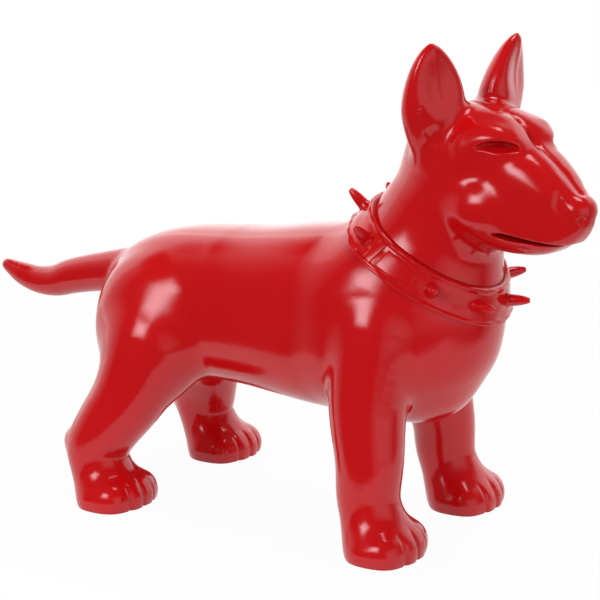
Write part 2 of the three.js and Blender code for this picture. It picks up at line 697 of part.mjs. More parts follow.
// Ears: each cut across its leaf, with a pin in blind holes on both sides of the seam.
function earMatrix(side, s, n, t) {
  const at = new THREE.Vector3(...EAR_BASE)
    .addScaledVector(earAcross, s)
    .addScaledVector(earFront, n)
    .addScaledVector(earUp, t);
  const axes = [earAcross, earFront, earUp].map((a) => new THREE.Vector3(a.x, side * a.y, a.z));
  const turned = new THREE.Vector3(axes[1].x, axes[1].y, axes[1].z).cross(axes[2]);
  const basis = new THREE.Matrix4().makeBasis(turned, axes[1], axes[2]);
  basis.setPosition(at.x, side * at.y, at.z);
  return headFrame.clone().multiply(basis);
}

function earBlock(side, from, to) {
  const size = 3 * EAR_HALF_WIDTH;
  return solidFrom(new THREE.BoxGeometry(size, size, to - from), earMatrix(side, 0, 0, (from + to) / 2));
}

function earPin(side, radius, length) {
  const upright = new THREE.Matrix4().makeRotationX(Math.PI / 2);
  const place = earMatrix(side, 0, -EAR_PIN_SETBACK, EAR_SEAM).multiply(upright);
  return solidFrom(new THREE.CylinderGeometry(radius, radius, length, PIN_SIDES), place);
}

// The dish of an ear.
function dish(side) {
  const place = earMatrix(side, ...EAR_DISH.at).multiply(new THREE.Matrix4().makeScale(...EAR_DISH.half));
  return solidFrom(new THREE.SphereGeometry(1, DISH_SIDES, DISH_SIDES / 2), place);
}

// A cut in the face: an ellipsoid in its own axes, mirrored on the other side.
function faceCut({ at, half: radii, along, into }, side) {
  const mirror = ([u, v, w]) => new THREE.Vector3(u, side * v, w);
  const first = mirror(along).normalize();
  const second = mirror(into).addScaledVector(first, -mirror(into).dot(first)).normalize();
  const third = new THREE.Vector3().crossVectors(first, second);
  const basis = new THREE.Matrix4().makeBasis(first, second, third);
  const place = headFrame.clone()
    .multiply(basis.setPosition(mirror(at)))
    .multiply(new THREE.Matrix4().makeScale(...radii));
  return solidFrom(new THREE.SphereGeometry(1, CUT_SIDES, CUT_SIDES / 2), place);
}

// The mouth: a slit that is widest in front of its corner, cut to a set depth below the skin.
function mouth(box) {
  const length = MOUTH_FRONT - MOUTH_CORNER[0];
  const widest = MOUTH_CORNER[0] + MOUTH_WIDEST * length;
  const front = MOUTH_FRONT + MOUTH_DEPTH;
  const outline = new THREE.Shape([
    new THREE.Vector2(...MOUTH_CORNER),
    new THREE.Vector2(widest, mouthLine(widest) - MOUTH_OPENING),
    new THREE.Vector2(front, mouthLine(front) - MOUTH_FRONT_OPENING),
    new THREE.Vector2(front, mouthLine(front) + MOUTH_FRONT_OPENING),
    new THREE.Vector2(widest, mouthLine(widest) + MOUTH_OPENING),
  ]);
  const width = 2 * CRANIUM.half[1];
  const plate = new THREE.ExtrudeGeometry(outline, { depth: width, bevelEnabled: false });
  const upright = new THREE.Matrix4().makeRotationX(Math.PI / 2).setPosition(0, width / 2, 0);
  const core = sculpt((x, y, z) => statue(x, y, z) + MOUTH_DEPTH, box.low, box.high, MOUTH_CELL);
  return solidFrom(plate, headFrame.clone().multiply(upright)).subtract(core);
}

function earCasting(side) {
  const middle = new THREE.Vector3().setFromMatrixPosition(earMatrix(side, 0, 0, EAR_LENGTH / 2));
  const reach = EAR_LENGTH / 2 + 3 * EAR_CELL + EAR_HALF_WIDTH / 2;
  const low = middle.toArray().map((c) => c - reach);
  const high = middle.toArray().map((c) => c + reach);
  return sculpt(statue, low, high, EAR_CELL)
    .intersect(earBlock(side, EAR_SEAM + SEAM_GAP / 2, 2 * EAR_LENGTH))
    .subtract(dish(side))
    .subtract(earPin(side, EAR_PIN_RADIUS + SEAM_GAP, EAR_PIN_LENGTH + 2 * SEAM_GAP));
}

// Head: a shell above the collar's plane with a tube that enters the torso's neck.
const nose = headJoint(NOSE.at, Math.max(...NOSE.half));
const earTip = (side) => headJoint([EAR_TIP[0], side * EAR_TIP[1], EAR_TIP[2]], EAR_HALF_WIDTH);
const headBox = boxRound([NECK_BASE, NECK_TOP, cranium, nose, earTip(1), earTip(-1)], HEAD_CELL);
let headShell = sculpt(statue, headBox.low, headBox.high, HEAD_CELL)
  .intersect(slab(collarAt, collarAxis, SEAM_GAP / 2, BLOCK / 2))
  .subtract(seat)
  .add(spigot(collarAt, intoTorso, NECK_SPIGOT_RADIUS))
  .subtract(inside.intersect(slab(collarAt, collarAxis, FLOOR, BLOCK / 2)))
  .subtract(bar(collarAt, intoTorso, NECK_SPIGOT_BORE, -2 * FLOOR, 2 * FLOOR))
  .subtract(mouth(headBox));
for (const side of [1, -1]) {
  headShell = headShell
    .subtract(earBlock(side, EAR_SEAM - SEAM_GAP / 2, 2 * EAR_LENGTH))
    .subtract(earPin(side, EAR_PIN_RADIUS + SEAM_GAP, EAR_PIN_LENGTH + 2 * SEAM_GAP))
    .subtract(faceCut(EYE, side))
    .subtract(faceCut(NOSTRIL, side));
}

const rim = face + COLLAR_EDGE_RISE;
const bandSection = [
  [-half, SEAM_GAP], [half, SEAM_GAP],
  [half, face], [half - COLLAR_EDGE_BEVEL, rim], [edge + COLLAR_EDGE_BEVEL, rim], [edge, face],
  [-edge, face], [-edge - COLLAR_EDGE_BEVEL, rim], [COLLAR_EDGE_BEVEL - half, rim], [-half, face],
];
let band = neckStrip(() => bandSection, halfStep, 360 + halfStep, COLLAR_STEPS);

// Spikes: bullets that stand square on the band, each with a peg in a hole through it.
const spikeProfile = [new THREE.Vector2(0, -SPIKE_PEG_LENGTH)];
spikeProfile.push(new THREE.Vector2(SPIKE_PEG_RADIUS, -SPIKE_PEG_LENGTH));
spikeProfile.push(new THREE.Vector2(SPIKE_PEG_RADIUS, SEAM_GAP));
for (const f of SPIKE_STATIONS) {
  const radius = SPIKE_TIP_RADIUS + (SPIKE_RADIUS - SPIKE_TIP_RADIUS) * (1 - f ** 2) ** SPIKE_FULLNESS;
  spikeProfile.push(new THREE.Vector2(radius, SEAM_GAP + f * SPIKE_LENGTH));
}
spikeProfile.push(new THREE.Vector2(0, SEAM_GAP + SPIKE_LENGTH));
const spikeGeometry = new THREE.LatheGeometry(spikeProfile, SPIKE_SIDES);
const holeRadius = SPIKE_PEG_RADIUS + SEAM_GAP;
const holeGeometry = new THREE.CylinderGeometry(holeRadius, holeRadius, 3 * COLLAR_THICKNESS, SPIKE_SIDES);

function spikeMatrix(angle) {
  const at = collarPoint(angle, 0, face);
  const up = collarPoint(angle, edge, face).sub(collarPoint(angle, -edge, face));
  const along = collarPoint(angle + 0.05, 0, face).sub(collarPoint(angle - 0.05, 0, face));
  const out = along.clone().cross(up).normalize();
  const turn = new THREE.Quaternion().setFromUnitVectors(alongY, out);
  return new THREE.Matrix4().compose(at, turn, new THREE.Vector3(1, 1, 1));
}

const spikeMatrices = SPIKE_ANGLES.map((angle) => spikeMatrix(radians(angle)));
for (const matrix of spikeMatrices) {
  band = band.subtract(solidFrom(holeGeometry, matrix));
}

// Keeper and strap end lie on the band between two spikes.
const onBand = face + SEAM_GAP;
const keeperHalf = edge - KEEPER_SIDE_GAP;
const keeperSection = [
  [-keeperHalf, onBand], [keeperHalf, onBand], [keeperHalf, onBand + KEEPER_SIDE_RISE],
  [keeperHalf - KEEPER_BEVEL, onBand + KEEPER_RISE], [KEEPER_BEVEL - keeperHalf, onBand + KEEPER_RISE],
  [-keeperHalf, onBand + KEEPER_SIDE_RISE],
];
const keeperFrom = KEEPER_ANGLE - KEEPER_ARC / 2;
const keeper = neckStrip(() => keeperSection, keeperFrom, keeperFrom + KEEPER_ARC, 3);

// The strap end narrows to a rounded tip.
function strapSection(f) {
  const w = (STRAP_END_WIDTH / 2) * Math.sqrt(1 + STRAP_END_TIP ** 2 - f ** 3);
  const top = onBand + STRAP_END_RISE;
  return [[-w, onBand], [w, onBand], [w * STRAP_END_CROWN, top], [-w * STRAP_END_CROWN, top]];
}
const strapFrom = STRAP_END_ANGLE - STRAP_END_ARC / 2;
const strapEnd = neckStrip(strapSection, strapFrom, strapFrom + STRAP_END_ARC, 6);

const lacquer = new THREE.MeshStandardMaterial({ color: 0xc4121c, roughness: 0.18, metalness: 0 });
const steel = new THREE.MeshStandardMaterial({ color: 0x8d9196, roughness: 0.35, metalness: 1 });

const dog = new THREE.Group();

function addPiece(name, piece, material) {
  const mesh = piece.getMesh();
  const geometry = new THREE.BufferGeometry();
  geometry.setAttribute('position', new THREE.BufferAttribute(mesh.vertProperties, mesh.numProp));
  geometry.setIndex(new THREE.BufferAttribute(mesh.triVerts, 1));
  geometry.computeVertexNormals();
  const node = new THREE.Mesh(geometry, material);
  node.name = name;
  dog.add(node);
}

addPiece('torso_left', torsoLeft, lacquer);
addPiece('torso_right', torsoRight, lacquer);
addPiece('head', headShell, lacquer);
addPiece('ear_left', earCasting(1), lacquer);
addPiece('ear_right', earCasting(-1), lacquer);
addPiece('ear_pin_left', earPin(1, EAR_PIN_RADIUS, EAR_PIN_LENGTH), steel);
addPiece('ear_pin_right', earPin(-1, EAR_PIN_RADIUS, EAR_PIN_LENGTH), steel);
for (const [name, seam] of Object.entries(legSeams)) {
  addPiece(name, leg(seam), lacquer);
}
addPiece('tail', tail, lacquer);
addPiece('collar_band', band, lacquer);
addPiece('collar_keeper', keeper, lacquer);
addPiece('collar_strap_end', strapEnd, lacquer);
spikeMatrices.forEach((matrix, i) => {
  addPiece(`spike_${String(i + 1).padStart(2, '0')}`, solidFrom(spikeGeometry, matrix), lacquer);
});

// The origin is under the middle of the overall box.
const box = new THREE.Box3().setFromObject(dog);
const middle = box.getCenter(new THREE.Vector3());
dog.position.set(-middle.x, -middle.y, -box.min.z);

export default dog;
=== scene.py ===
"""Looks of a lacquered bull terrier statue with a spiked collar, sculpted finely round its CAD frame."""
import math

import bmesh
import bpy
import numpy as np
from mathutils import Matrix, Vector


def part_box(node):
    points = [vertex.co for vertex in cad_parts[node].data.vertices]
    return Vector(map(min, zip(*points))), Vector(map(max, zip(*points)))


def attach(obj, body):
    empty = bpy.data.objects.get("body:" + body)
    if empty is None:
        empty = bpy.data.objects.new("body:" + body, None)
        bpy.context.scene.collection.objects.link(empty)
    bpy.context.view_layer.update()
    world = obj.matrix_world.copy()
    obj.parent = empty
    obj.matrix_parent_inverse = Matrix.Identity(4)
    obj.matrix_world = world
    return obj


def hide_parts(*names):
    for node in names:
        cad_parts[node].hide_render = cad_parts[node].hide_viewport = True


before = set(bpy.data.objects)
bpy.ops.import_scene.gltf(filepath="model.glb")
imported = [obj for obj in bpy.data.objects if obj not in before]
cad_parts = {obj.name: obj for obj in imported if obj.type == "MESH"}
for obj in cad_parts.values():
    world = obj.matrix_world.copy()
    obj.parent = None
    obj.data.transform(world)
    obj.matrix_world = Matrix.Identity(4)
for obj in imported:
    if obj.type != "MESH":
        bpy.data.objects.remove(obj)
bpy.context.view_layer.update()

# Body volumes: centre and half sizes, in millimetres. +X to the nose, +Y to the dog's left, +Z up.
RIB_CAGE = ((124, 0, 233), (152, 101, 104))
LOIN = ((-10, 0, 230), (170, 89, 91))
RUMP = ((-114, 0, 224), (100, 90, 79))
FORECHEST = ((222, 0, 238), (69, 80, 90))
BRISKET = ((200, 0, 170), (62, 50, 49))
SHOULDER = ((172, 64, 238), (58, 42, 84))
THIGH = ((-118, 62, 198), (74, 48, 84))
TRUNK_BLEND = 36
BRISKET_BLEND = 20
TRUNK_SQUARENESS = 2.5
NECK = ((203, 0, 290, 84), (256, -9, 402, 60))
NECK_NARROWING = 0.95
NECK_BLEND = 34

# Limbs: joints as x, y, z and radius.
FRONT_LEG = ((186, 66, 235, 52), (184, 82, 158, 42), (193, 94, 100, 36),
             (193, 96, 62, 33.2), (198, 97, 38, 32))
HIND_LEG = ((-108, 72, 186, 54), (-126, 94, 128, 43), (-148, 108, 90, 37.5),
            (-162, 112, 64, 35), (-160, 112, 40, 33))
HOCK = ((-190, 112, 67), (16, 15, 13))
TAIL = ((-170, 0, 254, 30), (-236, 0, 245, 23.5), (-283, 0, 235, 21), (-312, 0, 226, 18.5),
        (-340, 0, 224, 16), (-366, 0, 229, 13), (-386, 0, 236, 8), (-394, 0, 239, 5))
SPLINE_STEPS = 6
SPAN_BLEND = 3
THIGH_BLEND = 18
FRONT_LEG_BLEND = 8
HIND_LEG_BLEND = 18
HOCK_BLEND = 16
TAIL_BLEND = 9

# How much further back a left leg stands, the height where it does so most, and how far above and below.
LEFT_FRONT_SETBACK = (8, 110, 70)
LEFT_HIND_SETBACK = (20, 108, 42)

# Paws: centre x and y, length and width. Their toes and lines are placed by shares of these two.
FRONT_PAW = (212, 98, 94, 106)
HIND_PAW = (-140, 112, 96, 104)
PAW_HEIGHT = 42
PAW_CENTRE_HEIGHT = 8
PAW_HALF_LENGTH = 0.41
PAW_HALF_WIDTH = 0.48
PAW_BLEND = 22
TOES = ((0.2, -0.29), (0.27, -0.1), (0.27, 0.1), (0.2, 0.29))
TOE_HALF_LENGTH = 0.19
TOE_HALF_WIDTH = 0.16
TOE_HALF_HEIGHT = 0.62
TOE_LIFT = 1
TOE_BLEND = 12
TOE_LINES = (-0.2, 0, 0.2)
TOE_LINE_START = 0.28
TOE_LINE_FADE = 0.14
TOE_LINE_SPREAD = 0.75
TOE_LINE_SPLAY = 0.6
TOE_LINE_WIDTH = 2.6
TOE_LINE_DEPTH = 1.7

# Head: turned to the dog's right and cocked a little, with its volumes in its own frame.
HEAD_AT = (225, 0, 400)
HEAD_TURN = 15
HEAD_TILT = 2.5
CRANIUM = ((38, 0, 22), (68, 60, 56))
FOREHEAD = ((73, 14, 41), (46, 36, 32))
MUZZLE = ((62, 0, -4, 49), (104, 0, -13, 44), (135, 0, -23, 36), (156, 0, -27, 26.5),
          (171, 0, -27, 19), (182, 0, -25, 12.6), (187, 0, -24, 9))
MUZZLE_STRETCH = 1.25
MUZZLE_SQUARENESS = 3.2
CHEEK = ((80, 36, -22), (38, 28, 30))
BROW = ((100, 27, 43.5), (24, 17.5, 11))
EYE_MIDDLE = (111.5, 42.5, 37.5)
EYE_HALF = (23.5, 15, 11)
EYE_FLOOR_SLOPE = 0.15
EYE_ALONG = (34, -30, 1)
EYE_INTO = (-0.62, -0.74, 0.2)
NOSE = ((186, 0, -20), (13, 18, 13))
NOSTRIL = ((196, 12, -28), (5, 3.4, 3.6))
MOUTH_CORNER = (106, -47)
MOUTH_FALL = -0.12
MOUTH_FRONT = 192
MOUTH_OPENING = 3.4
MOUTH_DEPTH = 12
MOUTH_CORNER_QUICKNESS = 6
MOUTH_CORNER_CLOSING = 30
MOUTH_TAPER = 1.15
JAW_SETBACK = 8
JAW_STEP_HEIGHT = 6
HEAD_BLEND = 20
FACE_BLEND = 14
NOSE_BLEND = 6
LIP_BLEND = 2.5
MOUTH_BLEND = 1.5

# Strokes: lines on the head along which its skin is pressed in or raised.
FURROW = ((40, 0, 82), (75, 0, 73), (102, 0, 58), (128, 0, 41))
FURROW_DEPTH = 2.6
FURROW_WIDTH = 4
BRIDGE = ((134, 0, 38), (165, 0, 16), (184, 0, -3))
BRIDGE_DEPTH = 1.2
BRIDGE_WIDTH = 4.5
CHEEKBONE = ((108, 38, 57), (94, 47, 56), (80, 55, 45), (77, 58, 26))
CHEEKBONE_RISE = 2.8
CHEEKBONE_WIDTH = 10
CHEEK_CREASE = ((97, 51, 34), (92, 54, 22), (92, 56, 12))
CHEEK_CREASE_DEPTH = 2.4
CHEEK_CREASE_WIDTH = 9
NOSE_WING = ((171, 19, -3), (176, 24, -13), (184, 23, -27))
NOSE_WING_DEPTH = 1.6
NOSE_WING_WIDTH = 4
EAR_FOLD = ((46, 80, 77), (47, 75, 66), (47, 68, 54), (48, 64, 44))
EAR_FOLD_DEPTH = 1.6
EAR_FOLD_WIDTH = 4

# Ears: the leaf's stations are shares of its length and half width, and its dish is in the ear's own frame.
EAR_BASE = (34, 48, 56)
EAR_TIP = (48, 67, 143)
EAR_FACING = 20
EAR_HALF_WIDTH = 34
EAR_FLATNESS = 0.64
EAR_BLEND = 12
EAR_LEAF = ((-0.07, 0.86), (0.28, 1), (0.58, 0.77), (0.8, 0.44), (0.93, 0.15))
EAR_DISH = ((5, 68, 66), (62, 60, 66))
EAR_RIM_BLEND = 9
EAR_RIDGE_WIDTH = 4
EAR_RIDGE_RISE = 0.8
EAR_RIDGE_START = 0.3
EAR_RIDGE_FADE = 0.2
EAR_RIDGE_BEHIND = 3
EAR_RIDGE_FRONT_FADE = 4

# Seams between the castings, and the collar that covers the one round the neck.
SEAM_GAP = 0.3
LEG_SEAM = 116
TAIL_SEAM = -222
EAR_SEAM = 28
COLLAR_AT = np.array([220, -3, 314])
COLLAR_LEAN = 32
COLLAR_TURN = -4
COLLAR_WIDTH = 32
COLLAR_THICKNESS = 5
COLLAR_EDGE_WIDTH = 3.8
COLLAR_EDGE_RISE = 1.8
COLLAR_EDGE_POINTS = 9
COLLAR_WEB_INSET = 2
COLLAR_WEB_POINTS = 7
COLLAR_STEPS = 300
SPIKE_ANGLES = (-60, -24, 12, 48, 84, 120, 156, 192, 240)
SPIKE_LENGTH = 25
SPIKE_RADIUS = 6.6
SPIKE_TIP_RADIUS = 2.1
SPIKE_FULLNESS = 0.7
SPIKE_FOOT_FLARE = 1.8
SPIKE_FOOT_HEIGHT = 5
SPIKE_FOOT_SUNK = 1
SPIKE_SIDE_SHARE = 0.94
SPIKE_SIDE_ROWS = 14
SPIKE_TIP_ARC = (0.3, 1.35)
SPIKE_TIP_ROWS = 4
SPIKE_TURNS = 28
KEEPER_ANGLE = 252
KEEPER_ARC = 7
KEEPER_RISE = 1.3
KEEPER_END_RISE = 0.35
KEEPER_ROUNDNESS = 0.5
KEEPER_SIDE_GAP = 0.6
KEEPER_STEPS = 10
STRAP_END_ANGLE = 273
STRAP_END_ARC = 28
STRAP_END_WIDTH = 18
STRAP_END_RISE = 1
STRAP_END_THINNING = 0.4
STRAP_END_BLUNTNESS = 0.04
STRAP_END_STEPS = 24
CROWN_EDGE_ANGLE = 0.12
CROWN_FLATNESS = 0.45
CROWN_POINTS = 13

# Unevenness of the hand-modelled band: height, waves round the neck, slant across the band and phase.
RIPPLES = ((0.35, 9, 0.31, 1.3), (0.3, 17, -0.45, 0), (0.25, 31, 0.8, 0.7))

# Fields: about the distance to a surface in millimetres, below zero inside it.
ROUND = 2
LEAST_GRADIENT = 1e-6
TINY = 1e-9


def ellipsoid(p, volume, squareness=ROUND):
    """Distance to an ellipsoid, boxier across its length above a squareness of 2."""
    at, half = volume
    a, b, c = [(p[i] - at[i]) / half[i] for i in range(3)]
    if squareness == ROUND:
        k = np.sqrt(a * a + b * b + c * c)
    else:
        across = (np.abs(b) ** squareness + np.abs(c) ** squareness) ** (1 / squareness)
        k = np.sqrt(a * a + across * across)
    gradient = np.sqrt((a / half[0]) ** 2 + (b / half[1]) ** 2 + (c / half[2]) ** 2)
    return k * (k - 1) / np.maximum(gradient, LEAST_GRADIENT)


def segment(p, a, b, squareness=ROUND):
    """Distance to a tapered segment with round ends: round across at a squareness of 2, boxier above it."""
    d = [b[i] - a[i] for i in range(3)]
    q = [p[i] - a[i] for i in range(3)]
    t = np.clip((q[0] * d[0] + q[1] * d[1] + q[2] * d[2]) / (d[0] ** 2 + d[1] ** 2 + d[2] ** 2), 0, 1)
    off = [np.abs(q[i] - t * d[i]) for i in range(3)]
    if squareness == ROUND:
        away = np.sqrt(off[0] ** 2 + off[1] ** 2 + off[2] ** 2)
    else:
        away = (off[0] ** squareness + off[1] ** squareness + off[2] ** squareness) ** (1 / squareness)
    return away - (a[3] + (b[3] - a[3]) * t)


def join(a, b, blend):
    """Both solids, with a fillet about as wide as the blend."""
    h = np.maximum(blend - np.abs(a - b), 0) / blend
    return np.minimum(a, b) - h * h * blend / 4


def carve(a, b, blend):
    """The first solid without the second, with a rounded edge."""
    return -join(-a, b, blend)


def spline(joints):
    """Points along a Catmull-Rom curve through the joints, radius included."""
    j = [np.array(joint, float) for joint in joints]
    j = [2 * j[0] - j[1]] + j + [2 * j[-1] - j[-2]]
    points = []
    for a, b, c, d in zip(j, j[1:], j[2:], j[3:]):
        bend = 2 * a - 5 * b + 4 * c - d
        twist = 3 * (b - c) + d - a
        for t in np.arange(SPLINE_STEPS) / SPLINE_STEPS:
            points.append(b + 0.5 * t * (c - a + t * (bend + t * twist)))
    return points + [j[-2]]


def limb(p, joints, squareness=ROUND):
    points = spline(joints)
    d = segment(p, points[0], points[1], squareness)
    for a, b in zip(points[1:], points[2:]):
        d = join(d, segment(p, a, b, squareness), SPAN_BLEND)
    return d


def smooth_step(x):
    x = np.clip(x, 0, 1)
    return x * x * (3 - 2 * x)


def bell(x):
    """1 at zero, fading nearly to 0 at 2 on both sides."""
    return np.exp(-x ** 2)


def stroke(p, route, width):
    """1 along a route and fading to 0 within about twice the width beside it."""
    near = segment(p, (*route[0], 0), (*route[1], 0))
    for a, b in zip(route[1:], route[2:]):
        near = join(near, segment(p, (*a, 0), (*b, 0)), 2 * width)
    return bell(np.maximum(near, 0) / width)


def mirrored(p):
    return (p[0], np.abs(p[1]), p[2])


def unit(v):
    return np.asarray(v, float) / np.linalg.norm(v)


def along_axes(r, axes):
    return tuple(axis[0] * r[0] + axis[1] * r[1] + axis[2] * r[2] for axis in axes)


def trunk(p):
    d = ellipsoid(p, RIB_CAGE, TRUNK_SQUARENESS)
    d = join(d, ellipsoid(p, LOIN, TRUNK_SQUARENESS), TRUNK_BLEND)
    d = join(d, ellipsoid(p, RUMP), TRUNK_BLEND)
    d = join(d, ellipsoid(p, FORECHEST), TRUNK_BLEND)
    d = join(d, ellipsoid(p, BRISKET), BRISKET_BLEND)
    return join(d, ellipsoid(mirrored(p), SHOULDER), TRUNK_BLEND)


def neck(p):
    base, top = [(x, y / NECK_NARROWING, z, r) for x, y, z, r in NECK]
    return segment((p[0], p[1] / NECK_NARROWING, p[2]), base, top) * NECK_NARROWING


def bare_neck(p):
    return join(trunk(p), neck(p), NECK_BLEND)


def paw(p, place):
    """A pad with four toes in front, and the lines between them, which spread towards the front."""
    x, y, length, width = place
    rise = PAW_HEIGHT - PAW_CENTRE_HEIGHT
    half = (PAW_HALF_LENGTH * length, PAW_HALF_WIDTH * width, rise)
    toe_half = (TOE_HALF_LENGTH * length, TOE_HALF_WIDTH * width, TOE_HALF_HEIGHT * rise)
    d = ellipsoid(p, ((x, y, PAW_CENTRE_HEIGHT), half))
    for reach, side in TOES:
        at = (x + reach * length, y + side * width, PAW_CENTRE_HEIGHT + TOE_LIFT)
        d = join(d, ellipsoid(p, (at, toe_half)), TOE_BLEND)
    ahead = (p[0] - x) / length
    fade = smooth_step((ahead - TOE_LINE_START) / TOE_LINE_FADE)
    for side in TOE_LINES:
        off = (p[1] - y) - side * width * (TOE_LINE_SPREAD + TOE_LINE_SPLAY * ahead)
        d = d + TOE_LINE_DEPTH * fade * bell(off / TOE_LINE_WIDTH)
    return d


def front_leg(p):
    return join(limb(p, FRONT_LEG), paw(p, FRONT_PAW), PAW_BLEND)


def hind_leg(p):
    leg = join(limb(p, HIND_LEG), ellipsoid(p, THIGH), THIGH_BLEND)
    leg = join(leg, ellipsoid(p, HOCK), HOCK_BLEND)
    return join(leg, paw(p, HIND_PAW), PAW_BLEND)


def turn_matrix():
    a, b = math.radians(-HEAD_TURN), math.radians(HEAD_TILT)
    turn = np.array([[math.cos(a), -math.sin(a), 0], [math.sin(a), math.cos(a), 0], [0, 0, 1]])
    tilt = np.array([[1, 0, 0], [0, math.cos(b), -math.sin(b)], [0, math.sin(b), math.cos(b)]])
    return turn @ tilt


HEAD_AXES = turn_matrix()


def into_head(p):
    return along_axes([p[i] - HEAD_AT[i] for i in range(3)], HEAD_AXES.T)


def from_head(q):
    return HEAD_AXES @ np.asarray(q, float) + HEAD_AT


eye_along = unit(EYE_ALONG)
eye_into = unit(np.array(EYE_INTO) - eye_along * (eye_along @ EYE_INTO))
EYE_AXES = (eye_along, eye_into, np.cross(eye_into, eye_along))


def eye(q):
    """The half-moon of an eye: an arched lid over a straight lower edge."""
    along, into, up = along_axes([q[i] - EYE_MIDDLE[i] for i in range(3)], EYE_AXES)
    ball = ellipsoid((along, into, up), ((0, 0, 0), EYE_HALF))
    return carve(ball, up - EYE_FLOOR_SLOPE * into, LIP_BLEND)


def mouth_line(u):
    return MOUTH_CORNER[1] + MOUTH_FALL * (u - MOUTH_CORNER[0])


def muzzle(q):
    """An egg, taller than it is wide, whose lower half is set back in front to make the jaw."""
    below = smooth_step((mouth_line(q[0]) + JAW_STEP_HEIGHT / 2 - q[2]) / JAW_STEP_HEIGHT)
    ahead = smooth_step((q[0] - MOUTH_CORNER[0]) / (MOUTH_FRONT - MOUTH_CORNER[0] - JAW_SETBACK))
    u = q[0] + JAW_SETBACK * below * ahead
    stations = [(x, y, z / MUZZLE_STRETCH, r) for x, y, z, r in MUZZLE]
    return limb((u, q[1], q[2] / MUZZLE_STRETCH), stations, MUZZLE_SQUARENESS)


def mouth(q, skin):
    """A slit in the skin that opens quickly in front of its corner and then narrows to the front."""
    along = (q[0] - MOUTH_CORNER[0]) / (MOUTH_FRONT - MOUTH_CORNER[0])
    opened = MOUTH_OPENING * np.sqrt(np.clip(along * MOUTH_CORNER_QUICKNESS, 0, 1))
    opening = np.where(along < 0, MOUTH_CORNER_CLOSING * along, opened * (MOUTH_TAPER - along))
    return np.maximum(np.abs(q[2] - mouth_line(q[0])) - opening, -skin - MOUTH_DEPTH)


def head(q):
    q = mirrored(q)
    d = ellipsoid(q, CRANIUM)
    d = join(d, ellipsoid(q, FOREHEAD), HEAD_BLEND)
    d = join(d, muzzle(q), HEAD_BLEND)
    d = join(d, ellipsoid(q, CHEEK), FACE_BLEND)
    d = join(d, ellipsoid(q, BROW), FACE_BLEND)
    d = join(d, ellipsoid(q, NOSE), NOSE_BLEND)
    d = d + FURROW_DEPTH * stroke(q, FURROW, FURROW_WIDTH)
    d = d + BRIDGE_DEPTH * stroke(q, BRIDGE, BRIDGE_WIDTH)
    d = d - CHEEKBONE_RISE * stroke(q, CHEEKBONE, CHEEKBONE_WIDTH)
    d = d + CHEEK_CREASE_DEPTH * stroke(q, CHEEK_CREASE, CHEEK_CREASE_WIDTH)
    d = d + NOSE_WING_DEPTH * stroke(q, NOSE_WING, NOSE_WING_WIDTH)
    d = carve(d, eye(q), LIP_BLEND)
    d = carve(d, mouth(q, d), MOUTH_BLEND)
    return carve(d, ellipsoid(q, NOSTRIL), LIP_BLEND)


ear_stem = np.subtract(EAR_TIP, EAR_BASE)
EAR_LENGTH = float(np.linalg.norm(ear_stem))
ear_up = ear_stem / EAR_LENGTH
ear_facing = np.array([math.cos(math.radians(EAR_FACING)), math.sin(math.radians(EAR_FACING)), 0])
ear_front = unit(ear_facing - ear_up * (ear_facing @ ear_up))
EAR_AXES = (np.cross(ear_front, ear_up), ear_front, ear_up)


def into_ear(q):
    r = mirrored(q)
    return along_axes([r[i] - EAR_BASE[i] for i in range(3)], EAR_AXES)


def ear(q):
    """A leaf with a dished front and a low ridge down the dish."""
    across, front, up = into_ear(q)
    stations = [(0, 0, f * EAR_LENGTH, w * EAR_HALF_WIDTH) for f, w in EAR_LEAF]
    d = limb((across, front / EAR_FLATNESS, up), stations) * EAR_FLATNESS
    d = carve(d, ellipsoid((across, front, up), EAR_DISH), EAR_RIM_BLEND)
    inner = smooth_step((up / EAR_LENGTH - EAR_RIDGE_START) / EAR_RIDGE_FADE)
    inner = inner * smooth_step((front + EAR_RIDGE_BEHIND) / EAR_RIDGE_FRONT_FADE)
    return d - EAR_RIDGE_RISE * inner * bell(across / EAR_RIDGE_WIDTH)


def set_back(p, amount, at, reach):
    """The left side's points moved forward, so that its limb stands further back round a height."""
    forward = np.where(p[1] > 0, amount * bell((p[2] - at) / reach), 0)
    return (p[0] + forward, np.abs(p[1]), p[2])


def body(p):
    d = join(bare_neck(p), hind_leg(set_back(p, *LEFT_HIND_SETBACK)), HIND_LEG_BLEND)
    d = join(d, front_leg(set_back(p, *LEFT_FRONT_SETBACK)), FRONT_LEG_BLEND)
    return join(d, limb(p, TAIL), TAIL_BLEND)


def bust(p):
    """The head and ears on the neck, with a fold at each ear's foot."""
    q = into_head(p)
    d = join(bare_neck(p), head(q), HEAD_BLEND)
    d = join(d, ear(q), EAR_BLEND)
    return d + EAR_FOLD_DEPTH * stroke(mirrored(q), EAR_FOLD, EAR_FOLD_WIDTH)


# The surface where a field is zero, as quads with one vertex in each grid cell that it crosses.
BLOCK = 8
BLOCKS_AT_ONCE = 2000
NEAR_BLOCKS = 1.2
FAR_OUTSIDE = 1e3
MENDED_DEPTH = 0.02
SLOPE_STEP = 0.4
LEAST_RISE = 0.05
SETTLE_PASSES = 2
SETTLE_REACH = 0.5


